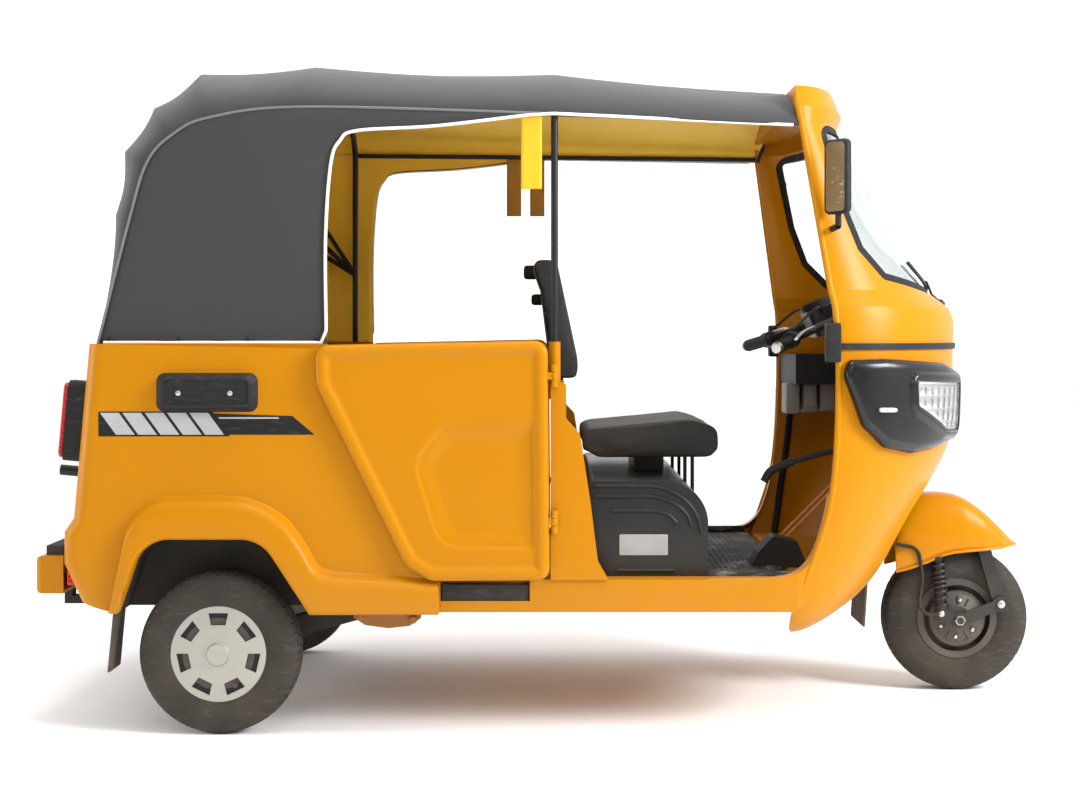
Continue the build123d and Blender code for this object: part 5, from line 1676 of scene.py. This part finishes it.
def doorPanel(side):
    # rings set in from the outline carry the rolled rim; the field inside shrinks to the middle and is
    # pressed in by a short step and a long slope measured from the dish's edge
    out = np.array([row[1] for row in door["rim"]])
    rings = np.stack(
        [
            insetRing(door["outline"], door["corners"], row[0], door["perCorner"], door["perSide"])
            for row in door["rim"]
        ]
    )
    around = rings.shape[1]
    middle = np.array(door["middle"])
    levels = np.broadcast_to(out[:, None], rings.shape[:2])
    f = np.linspace(0, 1, door["inner"])[1:, None, None]
    field = rings[-1][None] * (1 - f) + middle * f
    dish = roundedOutline(door["dish"], door["dishCorners"], 8)
    deep = depthInside(field.reshape(-1, 2), dish).reshape(field.shape[:2])
    (stepDeep, stepWide), (slopeDeep, slopeWide) = door["step"], door["slope"]
    press = stepDeep * smoothStep(deep / stepWide) + slopeDeep * smoothStep((deep - stepWide) / slopeWide)
    back = np.broadcast_to(middle, rings[:1].shape)
    flat = np.concatenate([back, rings, field])
    level = np.concatenate([np.full(rings[:1].shape[:2], out[0]), levels, door["field"] - press])
    points = np.stack([flat[..., 0], side * level, flat[..., 1]], -1)
    return points.reshape(-1, 3), gridFaces(len(points), around, False, True)


for side, word in ((-1, "right"), (1, "left")):
    parts = [doorPanel(side)]
    pinX, pinY = door["pin"]
    for height in door["knuckles"]:
        pinAt = np.array([pinX, side * pinY, height])
        parts.append(lathe(door["knuckle"], pinAt, (0, 0, 1), 20))
        parts.append(roundBlock(*(pinAt + np.array(door["leaf"])), 0.12))
    panel = addPiece("doorPanel_" + word, parts, bodyPaint, word + "_door", crease=50)
    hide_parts("door_" + word)
    lining = evenLoop(roundedOutline(door["inside"], door["insideCorners"], 10), 160)
    within, beadRound = side * door["within"], circle(door["bead"], 8)
    bead = sweep(atDepth(lining, within), beadRound, up=(0, 1, 0), closed=True)
    brace = sweep(atDepth(evenPath(door["brace"], 24), within), beadRound, up=(0, 1, 0))
    addPiece("doorBeads_" + word, [bead, brace], bodyPaint, word + "_door")
    pull = evenPath(curveThrough([(x, side * y, z) for x, y, z in door["pull"]], 8), 40)
    pull = sweep(pull, circle(door["pullRound"], 10), up=(1, 0, 0))
    addPiece("doorPull_" + word, [pull], trimPlastic, word + "_door")
print("doors made")


# Wheel-arch flares: a rounded band between the arch's edge and the flare's outer line, run on along the sill.

flare = {
    "arch": [
        (-1.105, 0.0), (-1.105, 0.310), (-1.040, 0.498), (-0.745, 0.498), (-0.622, 0.310),
        (-0.622, 0.0),
    ],
    "archCorners": [0.0, 0.0, 0.095, 0.095, 0.0, 0.0],
    "outer": [
        (-1.130, 0.310), (-1.104, 0.440), (-1.080, 0.535), (-1.020, 0.596), (-0.960, 0.605),
        (-0.830, 0.605), (-0.762, 0.594), (-0.690, 0.556), (-0.642, 0.498), (-0.602, 0.432),
        (-0.566, 0.416),
    ],
    "sill": [(-0.566, 0.416), (-0.480, 0.409), (-0.390, 0.402), (-0.301, 0.393)],
    "profile": [
        (-0.02, 0.628),
        (-0.035, 0.640),
        (-0.030, 0.650),
        (-0.010, 0.6585),
        (0.030, 0.6635),
        (0.090, 0.6655),
        (0.300, 0.6660),
        (0.550, 0.6655),
        (0.700, 0.6640),
        (0.780, 0.6605),
        (0.850, 0.6540),
        (0.910, 0.6455),
        (0.960, 0.6385),
        (1.000, 0.6345),
    ],
    "wall": 0.6345,
    "full": 0.045,
    "foot": [(-0.622, 0.310), (-0.301, 0.310)],
    "archRows": 90,
    "sillRows": 41,
}


def flareBand():
    # rows along the arch and the sill, columns over the rounded profile; where the band is narrow
    # it stands out less
    edge = roundedOutline(flare["arch"], flare["archCorners"], 16)[16:80]
    archRows, sillRows = flare["archRows"], flare["sillRows"]
    inner = np.vstack([evenPath(edge, archRows), evenPath(flare["foot"], sillRows)[1:]])
    sill = evenPath(curveThrough(flare["sill"], 10), sillRows)
    outer = np.vstack([evenPath(curveThrough(flare["outer"], 10), archRows), sill[1:]])
    profile = evenPath(curveThrough(flare["profile"], 6), 60)
    across, out = profile[None, :, :1], profile[None, :, 1]
    flat = inner[:, None] * (1 - across) + outer[:, None] * across
    wide = np.linalg.norm(outer - inner, axis=1)[:, None]
    share = np.where(out > flare["wall"], np.minimum(1, wide / flare["full"]), 1)
    level = flare["wall"] + (out - flare["wall"]) * share
    points = np.stack([flat[..., 0], -level, flat[..., 1]], -1)
    return points.reshape(-1, 3), gridFaces(*points.shape[:2])


addPiece("archFlares", paired([flareBand()]), bodyPaint, "body", crease=60, closed=False)
print("flares made")


# Quarter-panel stripe: slanted silver bars that run into a black wedge, as thin film on the paint.

stripe = {
    "low": 0.757,
    "high": 0.812,
    "rear": -1.150,
    "bars": 5,
    "pitch": 0.056,
    "bar": 0.047,
    "slant": 0.040,
    "nose": -0.612,
    "film": 0.0006,
    "on": 0.6352,
    "pinLine": (0.797, 0.801, -0.700),
}


def film(outline, low, high):
    # flat film between two depths: both faces closed to their middles
    ring = np.asarray(outline, float)
    middle = np.broadcast_to(ring.mean(0), ring.shape)
    flat = np.stack([middle, ring, ring, middle])
    depth = np.array([low, low, high, high])[:, None]
    points = np.stack(np.broadcast_arrays(flat[..., 0], -depth, flat[..., 1]), -1)
    return points.reshape(-1, 3), gridFaces(4, len(ring), False, True)


def stripeBars():
    # equal slanted bars, one pitch apart
    low, high = stripe["low"], stripe["high"]
    bars = []
    for number in range(stripe["bars"]):
        x = stripe["rear"] + number * stripe["pitch"]
        foot = x + stripe["slant"]
        bars.append([(foot, low), (foot + stripe["bar"], low), (x + stripe["bar"], high), (x, high)])
    return bars


wedgeStart = stripe["rear"] + stripe["bars"] * stripe["pitch"]
wedge = [
    (wedgeStart + stripe["slant"] + 0.002, stripe["low"]),
    (stripe["nose"], stripe["low"]),
    (stripe["nose"] - 0.056, stripe["high"] - 0.008),
    (wedgeStart + 0.004, stripe["high"] - 0.002),
]
under = [
    (stripe["rear"] - 0.004, stripe["low"] - 0.004),
    (wedgeStart + stripe["slant"] + 0.006, stripe["low"] - 0.004),
    (wedgeStart + 0.002, stripe["high"] + 0.003),
    (stripe["rear"] - 0.004, stripe["high"] + 0.003),
]
onPaint, top = stripe["on"], stripe["on"] + stripe["film"]
silverFilm = [film(bar, top, top + stripe["film"]) for bar in stripeBars()]
pinLow, pinHigh, pinEnd = stripe["pinLine"]
pinLine = [
    (wedgeStart + 0.02, pinLow), (pinEnd, pinLow), (pinEnd - 0.003, pinHigh),
    (wedgeStart + 0.016, pinHigh),
]
silverFilm.append(film(pinLine, top, top + stripe["film"]))
blackFilm = [film(wedge, onPaint, top), film(under, onPaint, top)]
addPiece("stripeSilver", paired(silverFilm), filmSilver, "body")
addPiece("stripeBlack", paired(blackFilm), filmBlack, "body")
print("stripes made")


# Vent covers: a lipped frame over each intake, with three slats and two screws.

vent = {
    "x0": -1.009,
    "x1": -0.754,
    "low": 0.814,
    "high": 0.912,
    "face": 0.659,
    "screws": [(-0.949, 0.862), (-0.820, 0.862)],
}


def ventLip():
    # rounded frame on the cover's face, leaning in towards its upper edge
    ring = roundRect(vent["x1"] - vent["x0"] - 0.036, vent["high"] - vent["low"] - 0.032, 0.016, 6)
    ring = ring + np.array([(vent["x0"] + vent["x1"]) / 2, (vent["low"] + vent["high"]) / 2])
    ring = evenLoop(ring, 96)
    peak = smoothStep((ring[:, 1] - vent["low"]) / (vent["high"] - vent["low"]))
    return np.column_stack([ring[:, 0], -vent["face"] - 0.0005 + 0.002 * peak, ring[:, 1]])


ventParts = [sweep(ventLip(), circle(0.0045, 8), up=(0, 1, 0), closed=True)]
for level in np.linspace(vent["low"] + 0.034, vent["high"] - 0.034, 3):
    run = evenPath([(vent["x0"] + 0.045, level), (vent["x1"] - 0.045, level)], 12)
    run = atDepth(run, -vent["face"] + 0.0005)
    ventParts.append(sweep(run, roundRect(0.010, 0.004, 0.0018, 3), up=(0, 1, 0)))
addPiece("ventLips", paired(ventParts), trimPlastic, "body")
ventScrews = [bolt((x, -vent["face"] - 0.001, z), (0, -1, 0), 0.0065, 0.004) for x, z in vent["screws"]]
addPiece("ventScrews", paired(ventScrews), brightZinc, "body")
print("vents made")


# Under-seat box: three raised ribs that turn over the front corner, a ledge below and a blank plate.

seatBox = {
    "side": 0.5602,
    "ribs": [
        [(0.092, 0.622), (0.200, 0.622), (0.262, 0.618), (0.318, 0.590), (0.352, 0.548), (0.366, 0.500)],
        [(0.093, 0.596), (0.200, 0.596), (0.251, 0.594), (0.300, 0.575), (0.328, 0.548), (0.340, 0.520)],
        [(0.136, 0.560), (0.200, 0.560), (0.251, 0.558), (0.280, 0.549), (0.302, 0.528)],
        [(0.149, 0.407), (0.200, 0.4065), (0.250, 0.4065), (0.296, 0.407)],
    ],
    "rib": 0.0052,
    "plate": (0.1555, 0.279, 0.446, 0.499),
}
ribs = []
for points in seatBox["ribs"]:
    line = atDepth(evenPath(curveThrough(points, 10), 60), -seatBox["side"])
    ribs.append(sweep(line, circle(seatBox["rib"], 10), up=(0, 1, 0)))
addPiece("seatBoxRibs", paired(ribs), boxPlastic, "body")
x0, x1, z0, z1 = seatBox["plate"]
plateOutline = roundRect(x1 - x0, z1 - z0, 0.003, 4) + np.array([(x0 + x1) / 2, (z0 + z1) / 2])
addPiece(
    "seatBoxPlate",
    [film(plateOutline, seatBox["side"], seatBox["side"] + 0.0015)],
    greyPlastic,
    "body",
)
print("seat box dressed")


# Floor mat with ribs, and the rubber edges along both sills.

mat = {
    "x": (0.388, 0.596),
    "half": 0.548,
    "base": 0.3803,
    "top": 0.3845,
    "rib": 0.0022,
    "ribs": 13,
    "fade": 0.03,
    "edgeX": (0.150, 0.592),
    "edge": (0.552, 0.392),
}


def matPoints():
    # flat field with rounded ribs across: a raised power of a cosine along X
    x = np.linspace(*mat["x"], 157)[:, None]
    y = np.linspace(-mat["half"], mat["half"], 60)[None, :]
    along = (x - mat["x"][0]) / (mat["x"][1] - mat["x"][0])
    wave = np.maximum(np.cos(2 * np.pi * mat["ribs"] * along), 0) ** 0.6
    edge = np.minimum(1, (mat["half"] - np.abs(y)) / mat["fade"])
    z = mat["top"] + mat["rib"] * wave * edge
    top = np.stack(np.broadcast_arrays(x, y, z), -1)
    base = top * np.array([1, 1, 0]) + np.array([0, 0, mat["base"]])
    rings = [np.concatenate([g[0], g[1:, -1], g[-1, -2::-1], g[-2:0:-1, 0]]) for g in (top, base)]
    skirt = np.stack(rings).reshape(-1, 3), gridFaces(2, len(rings[0]), False, True)
    faces = gridFaces(*top.shape[:2])
    return [(top.reshape(-1, 3), faces), (base.reshape(-1, 3), faces), skirt]


sillEdge = []
for side in (-1, 1):
    edgeY, edgeZ = mat["edge"]
    run = np.column_stack([np.linspace(*mat["edgeX"], 30), np.full(30, side * edgeY), np.full(30, edgeZ)])
    sillEdge.append(sweep(run, roundRect(0.014, 0.024, 0.004, 4)))
addPiece("floorMat", matPoints() + sillEdge, matRubber, "body")
print("mat made")


# Sill corners: the swept corner of the doorway, from the sill's top up into the cowl's edge.

corner = {
    "edge": [
        (0.440, 0.3925), (0.500, 0.3925), (0.550, 0.3945), (0.594, 0.404), (0.622, 0.424),
        (0.644, 0.455), (0.661, 0.500), (0.676, 0.555), (0.684, 0.600),
    ],
    "foot": [
        (0.440, 0.3115), (0.500, 0.3115), (0.550, 0.3115), (0.600, 0.3130), (0.640, 0.335),
        (0.672, 0.385), (0.692, 0.440), (0.702, 0.510), (0.706, 0.580),
    ],
    "roll": [
        (0.0, 0.050), (0.0, 0.010), (0.012, 0.0035), (0.035, 0.0010), (0.07, 0.0), (0.2, 0.0),
        (0.4, 0.0), (0.6, 0.0), (0.8, 0.0), (1.0, 0.0),
    ],
    "sill": 0.6256,
    "ease": (0.560, 0.080),
    "start": (0.440, 0.030),
    "startIn": 0.0012,
    "offShell": 0.0015,
}


def sillCorner():
    # rows along the doorway's edge, columns from the edge down; the face eases from the sill's
    # plane to the shell
    edge = curveThrough(corner["edge"], 10)
    foot = curveThrough(corner["foot"], 10)
    roll = np.array(corner["roll"])
    v = roll[None, :, :1]
    flat = edge[:, None] * (1 - v) + foot[:, None] * v
    (easeFrom, easeRun), (startFrom, startRun) = corner["ease"], corner["start"]
    ease = smoothStep((flat[..., 0] - easeFrom) / easeRun)
    start = corner["startIn"] * (1 - smoothStep((flat[..., 0] - startFrom) / startRun))
    cowl = -shellSide(flat[..., 0], flat[..., 1], corner["offShell"])[..., 1]
    out = (corner["sill"] - start) * (1 - ease) + cowl * ease - roll[None, :, 1]
    points = np.stack([flat[..., 0], -out, flat[..., 1]], -1)
    return points.reshape(-1, 3), gridFaces(*points.shape[:2])[:, ::-1]


addPiece("sillCorners", paired([sillCorner()]), bodyPaint, "body", crease=60, closed=False)
print("sill corners made")


# Cowl fittings: end blocks of the black strip, wiper, conduit, boxes under the dashboard, pedal rods
# and park lever.

cowlBits = {
    "endBlock": [(0.674, -0.626, 0.938), (0.712, -0.585, 1.038)],
    "conduit": [
        (0.742, 0.562, 0.862), (0.737, 0.566, 0.760), (0.724, 0.566, 0.640), (0.706, 0.562, 0.520),
        (0.688, 0.556, 0.384),
    ],
    "conduitRound": 0.0105,
    "boxes": [
        ((0.692, 0.300, 0.768), (0.733, 0.420, 0.861), 0.16),
        ((0.742, 0.290, 0.772), (0.786, 0.400, 0.861), 0.30),
        ((0.794, 0.300, 0.776), (0.840, 0.430, 0.861), 0.16),
    ],
    "knob": [(0, 0), (0, 0.012), (0.010, 0.013), (0.014, 0.010), (0.014, 0)],
    "knobAt": (0.764, 0.300, 0.800),
    "rod": 0.0042,
    "rodEnds": [(0.592, 0.381), (0.792, 0.581)],
    "rodsAt": (-0.045, 0.035),
    "lever": [
        (0.574, -0.130, 0.598), (0.592, -0.130, 0.627), (0.628, -0.130, 0.645), (0.700, -0.130, 0.668),
        (0.790, -0.130, 0.688), (0.872, -0.120, 0.690), (0.918, -0.034, 0.680),
    ],
    "leverRound": 0.0085,
    "gripRound": 0.0115,
    "gripSteps": 30,
}
endBlock = roundBlock(*cowlBits["endBlock"], 0.18)
addPiece("stripBlocks", paired([endBlock]), trimPlastic, "body")

wiper = {
    "pivot": (1.092, -0.08),
    "arm": [(1.092, -0.08), (1.118, -0.16), (1.140, -0.26), (1.152, -0.36)],
    "blade": [(1.128, -0.10), (1.138, -0.24), (1.152, -0.38), (1.172, -0.52), (1.200, -0.64)],
    "off": 0.012,
    "bladeOff": 0.004,
    "armBar": (0.010, 0.006, 0.002),
    "bladeBar": (0.008, 0.010, 0.003),
    "boss": [(-0.012, 0.0), (-0.012, 0.013), (0.010, 0.013), (0.016, 0.008), (0.017, 0.0)],
    "bossWay": (0.75, 0, 0.66),
    "up": (1, 0, 0.6),
}


def onShell(places, grow):
    # heights and angles from the nose, joined by a smooth line over the shell
    line = evenPath(curveThrough(places, 10), 40)
    return shellRound(line[:, 0], line[:, 1], grow)


pivot = shellRound(np.array(wiper["pivot"][0]), np.array(wiper["pivot"][1]), 0.0)
wiperParts = [
    sweep(onShell(wiper["arm"], wiper["off"]), roundRect(*wiper["armBar"], 3), up=wiper["up"]),
    sweep(onShell(wiper["blade"], wiper["bladeOff"]), roundRect(*wiper["bladeBar"], 3), up=wiper["up"]),
    lathe(wiper["boss"], pivot, wiper["bossWay"], 20),
]
addPiece("wiper", wiperParts, satinBlack, "body")

conduit = sweep(curveThrough(cowlBits["conduit"], 12), circle(cowlBits["conduitRound"], 12), up=(0, 1, 0))
addPiece("conduit", [conduit], sealRubber, "body")
boxes = [roundBlock(*box) for box in cowlBits["boxes"]]
boxes.append(lathe(cowlBits["knob"], cowlBits["knobAt"], (0, -1, 0), 16))
addPiece("dashBoxes", boxes, greyPlastic, "body")
rodLine = evenPath(cowlBits["rodEnds"], 8)
rods = [sweep(atDepth(rodLine, y), circle(cowlBits["rod"], 10), up=(0, 1, 0)) for y in cowlBits["rodsAt"]]
addPiece("pedalRods", rods, rodPaint, "body")
leverPath = curveThrough(cowlBits["lever"], 12)
leverGrip = evenPath(leverPath[: cowlBits["gripSteps"]], 40)
leverParts = [
    sweep(leverPath, circle(cowlBits["leverRound"], 12), up=(0, 1, 0.2)),
    sweep(leverGrip, circle(cowlBits["gripRound"], 14), up=(0, 1, 0.2)),
]
brakeLever = addPiece("parkLever", leverParts, leverBlack, "body")
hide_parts("brake_lever")
print("cowl fittings made")


# Handlebar controls: dial, switch blocks, brake levers, bar-end weights and cables.

bars = {
    "origin": (1.00894, 0.0, 0.460),
    "lean": math.radians(21.7),
    "rise": 0.635,
    "gripEnd": (-0.205, 0.372),
    "gripStart": (-0.150, 0.250),
    "cluster": [(-0.024, 0), (-0.024, 0.019), (-0.020, 0.023), (0.016, 0.023), (0.020, 0.019), (0.020, 0)],
    "clusterIn": 0.128,
    "ridge": [(-0.0014, 0.0168), (0, 0.0182), (0.0014, 0.0168)],
    "ridges": (0.004, 0.100, 13),
    "weight": [(0.0, 0), (0.0, 0.015), (0.010, 0.016), (0.018, 0.012), (0.019, 0)],
    "lever": [(-0.118, 0.262, 0.002), (-0.125, 0.290, 0.012), (-0.160, 0.345, 0.012), (-0.190, 0.392, 0.004)],
    "leverAhead": 0.035,
    "leverBar": (0.011, 0.006, 0.0025),
    "cable": [(-0.050, 0.190, 0.052), (-0.020, 0.085, 0.030), (0.004, 0.034, -0.030), (0.004, 0.024, -0.110)],
    "cableRound": 0.0038,
    "cableUp": 0.015,
    "dialAt": (-0.018, 0.0, 0.0445),
    "dial": [
        (0, 0), (0, 0.044), (0.014, 0.046), (0.020, 0.044), (0.020, 0.038), (0.016, 0.036), (0.016, 0),
    ],
    "dialFace": [(0.0163, 0), (0.0163, 0.0355)],
    "needle": 0.0009,
    "needleUp": 0.0172,
    "needleLong": 0.028,
    "needleWay": (-1, 0.6, 0),
}


def barPoint(along, across, up):
    # place in the handlebar's own frame: along the bar plane, across to the left, up the steering axis
    c, s = math.cos(bars["lean"]), math.sin(bars["lean"])
    base = np.array(bars["origin"])
    steps = np.broadcast_arrays(*(np.asarray(v, float) for v in (along, across, up)))
    a, b, u = (v[..., None] for v in steps)
    forward, left, upward = np.array([c, 0, s]), np.array([0, 1, 0]), np.array([-s, 0, c])
    return base + a * forward + b * left + (u + bars["rise"]) * upward


def barWay(*step):
    # direction of a step in the handlebar's own frame
    return unit(barPoint(*step) - barPoint(0, 0, 0))


stemWay = barPoint(0, 0, 1) - barPoint(0, 0, 0)
barParts, barBright = [], []
for side in (-1, 1):
    ends = (bars["gripEnd"], bars["gripStart"])
    gripEnd, gripStart = (barPoint(along, side * across, 0.0) for along, across in ends)
    gripWay = unit(gripEnd - gripStart)
    clusterAt = gripEnd - gripWay * bars["clusterIn"]
    barParts.append(lathe(bars["cluster"], clusterAt, gripWay, 24))
    for back in np.linspace(*bars["ridges"]):
        barParts.append(lathe(bars["ridge"], gripEnd - gripWay * back, gripWay, 20))
    barBright.append(lathe(bars["weight"], gripEnd, gripWay, 20))
    flip = np.array([1, side, 1])
    lever = barPoint(*(np.array(bars["lever"]) * flip).T) + barWay(1, 0, 0) * bars["leverAhead"]
    leverLine = evenPath(curveThrough(lever, 8), 24)
    barBright.append(sweep(leverLine, roundRect(*bars["leverBar"], 3), up=stemWay))
    cable = np.vstack([clusterAt + stemWay * bars["cableUp"], barPoint(*(np.array(bars["cable"]) * flip).T)])
    barParts.append(sweep(curveThrough(cable, 10), circle(bars["cableRound"], 8), up=(0, 0, 1)))
dialAt = barPoint(*bars["dialAt"])
barParts.append(lathe(bars["dial"], dialAt, stemWay, 40))
addPiece("barControls", barParts, trimPlastic, "steering")
addPiece("barBright", barBright, brightZinc, "steering")
needleFoot = dialAt + stemWay * bars["needleUp"]
needleLine = np.linspace(needleFoot, needleFoot + barWay(*bars["needleWay"]) * bars["needleLong"], 4)
needle = sweep(needleLine, circle(bars["needle"], 6), up=stemWay)
dialFace = lathe(bars["dialFace"], dialAt, stemWay, 40)
addPiece("dialFace", [dialFace, needle], paleLens, "steering", closed=False)
print("handlebar dressed")


# Small things on hood, seat and rear: hem studs, backrest knobs, reflectors, wheel-cover backs, valves
# and brackets.

smallBits = {
    "studs": (-1.134, -0.959, -0.784, -0.612),
    "studAt": (-0.6010, 0.9985),
    "stud": (0.0052, 0.004),
    "knobs": [
        ((-0.098, -0.026, 1.166), (-0.056, 0.026, 1.206), 0.45),
        ((-0.076, -0.022, 1.092), (-0.034, 0.022, 1.124), 0.45),
    ],
    "reflector": [(-1.246, -0.588, 0.372), (-1.222, -0.540, 0.412)],
    "rearAxle": (-0.855, 0.205),
    "backing": [(0.0, 0.070), (0.0, 0.106), (0.0002, 0.106), (0.0002, 0.070)],
    "backingOut": 0.6230,
    "valve": [(0, 0), (0, 0.0042), (0.016, 0.0042), (0.017, 0.0052), (0.026, 0.0052), (0.027, 0)],
    "valveAt": (0.0445, 0.6155, -0.0770),
    "bracket": [
        (-0.530, 0.276), (-0.500, 0.256), (-0.440, 0.248), (-0.385, 0.254), (-0.356, 0.274),
        (-0.350, 0.338), (-0.400, 0.338), (-0.415, 0.296), (-0.470, 0.296), (-0.530, 0.338),
    ],
    "bracketWalls": (0.424, 0.484),
    "bracketThick": 0.006,
    "bracketPins": [
        ([(0.0, 0), (0.0, 0.011), (0.084, 0.011), (0.090, 0.008), (0.090, 0)], (-0.376, -0.416, 0.272)),
        ([(0.0, 0), (0.0, 0.009), (0.084, 0.009), (0.090, 0.006), (0.090, 0)], (-0.510, -0.416, 0.282)),
    ],
}
studY, studZ = smallBits["studAt"]
studs = [bolt((x, studY, studZ), (0, -1, 0), *smallBits["stud"]) for x in smallBits["studs"]]
addPiece("hemStuds", paired(studs), satinBlack, "body")
knobs = [roundBlock(*knob) for knob in smallBits["knobs"]]
addPiece("backrestKnobs", knobs, trimPlastic, "body")
addPiece("rearReflectors", paired([roundBlock(*smallBits["reflector"], 0.2)]), redLens, "body")
rearX, rearZ = smallBits["rearAxle"]
valveX, valveY, valveZ = smallBits["valveAt"]
for side, word in ((-1, "right"), (1, "left")):
    outward = (0, side, 0)
    backing = lathe(smallBits["backing"], (rearX, side * smallBits["backingOut"], rearZ), outward, 48)
    valve = lathe(smallBits["valve"], (rearX + valveX, side * valveY, rearZ + valveZ), outward, 10)
    addPiece("coverBack_" + word, [backing, valve], castBlack, word + "_rear_wheel")
bracket = [film(smallBits["bracket"], y, y + smallBits["bracketThick"]) for y in smallBits["bracketWalls"]]
bracket += [lathe(profile, place, (0, -1, 0), 16) for profile, place in smallBits["bracketPins"]]
addPiece("armBrackets", paired(bracket), ochreSteel, "body")
print("small pieces made")


# Studio: pale floor, a sky that darkens towards the right side, soft boxes and the camera of the photograph.

studio = {
    "floorSize": 60.0,
    "floorColour": (0.97, 0.97, 0.97, 1),
    "skyNear": 0.28,
    "skyFar": 1.3,
    "skyRange": (-0.9, 0.1),
    "camera": (-0.014, -5.175, 1.007),
    "lens": 60.33,
    "shift": (-0.0120, -0.0569),
    "boxes": [
        ("topBox", (0.0, -0.9, 4.6), (0, 0, 0.8), 2.6, 120),
        ("tailBox", (-5.2, -0.9, 1.3), (-0.6, -0.4, 0.8), 1.7, 75),
        ("frontBox", (4.2, -2.6, 3.0), (0.9, 0, 0.9), 1.8, 330),
        ("sideBox", (-0.3, -5.7, 3.6), (-0.3, 0.0, 0.7), 2.4, 60),
    ],
}
floorMesh = bpy.data.meshes.new("studioFloor")
reach = studio["floorSize"] / 2
floorMesh.from_pydata(
    [(-reach, -reach, 0), (reach, -reach, 0), (reach, reach, 0), (-reach, reach, 0)], [], [(0, 1, 2, 3)]
)
studioFloor = bpy.data.objects.new("studioFloor", floorMesh)
bpy.context.scene.collection.objects.link(studioFloor)
floorMaterial, floorTree, floorShader = openMaterial("floorPale", Roughness=0.85, IOR=1.2)
floorShader.inputs["Base Color"].default_value = studio["floorColour"]
floorMesh.materials.append(floorMaterial)

sky = bpy.data.worlds.new("studioSky")
bpy.context.scene.world = sky
sky.use_nodes = True
skyTree = sky.node_tree
skyTree.nodes["Background"].inputs["Color"].default_value = (1, 1, 1, 1)
skyParts = put(skyTree, "ShaderNodeSeparateXYZ")
skyTree.links.new(put(skyTree, "ShaderNodeTexCoord").outputs["Generated"], skyParts.inputs["Vector"])
skyRange = put(skyTree, "ShaderNodeMapRange")
skyRange.inputs["From Min"].default_value = studio["skyRange"][0]
skyRange.inputs["From Max"].default_value = studio["skyRange"][1]
skyRange.inputs["To Min"].default_value = studio["skyNear"]
skyRange.inputs["To Max"].default_value = studio["skyFar"]
skyTree.links.new(skyParts.outputs["Y"], skyRange.inputs["Value"])
skyTree.links.new(skyRange.outputs["Result"], skyTree.nodes["Background"].inputs["Strength"])


def softBox(name, place, aim, size, power):
    # square area light turned towards a point
    lamp = bpy.data.lights.new(name, "AREA")
    lamp.energy = power
    lamp.size = size
    holder = bpy.data.objects.new(name, lamp)
    bpy.context.scene.collection.objects.link(holder)
    holder.location = place
    direction = Vector(aim) - Vector(place)
    holder.rotation_mode = "QUATERNION"
    holder.rotation_quaternion = direction.to_track_quat("-Z", "Y")


for box in studio["boxes"]:
    softBox(*box)

cameraData = bpy.data.cameras.new("photoCamera")
cameraData.lens = studio["lens"]
cameraData.sensor_width = 36.0
cameraData.shift_x, cameraData.shift_y = studio["shift"]
cameraData.clip_end = 200
photoCamera = bpy.data.objects.new("photoCamera", cameraData)
bpy.context.scene.collection.objects.link(photoCamera)
photoCamera.location = studio["camera"]
photoCamera.rotation_euler = (math.radians(90), 0, 0)
bpy.context.scene.camera = photoCamera
bpy.context.scene.view_settings.view_transform = "Standard"
print("studio made")
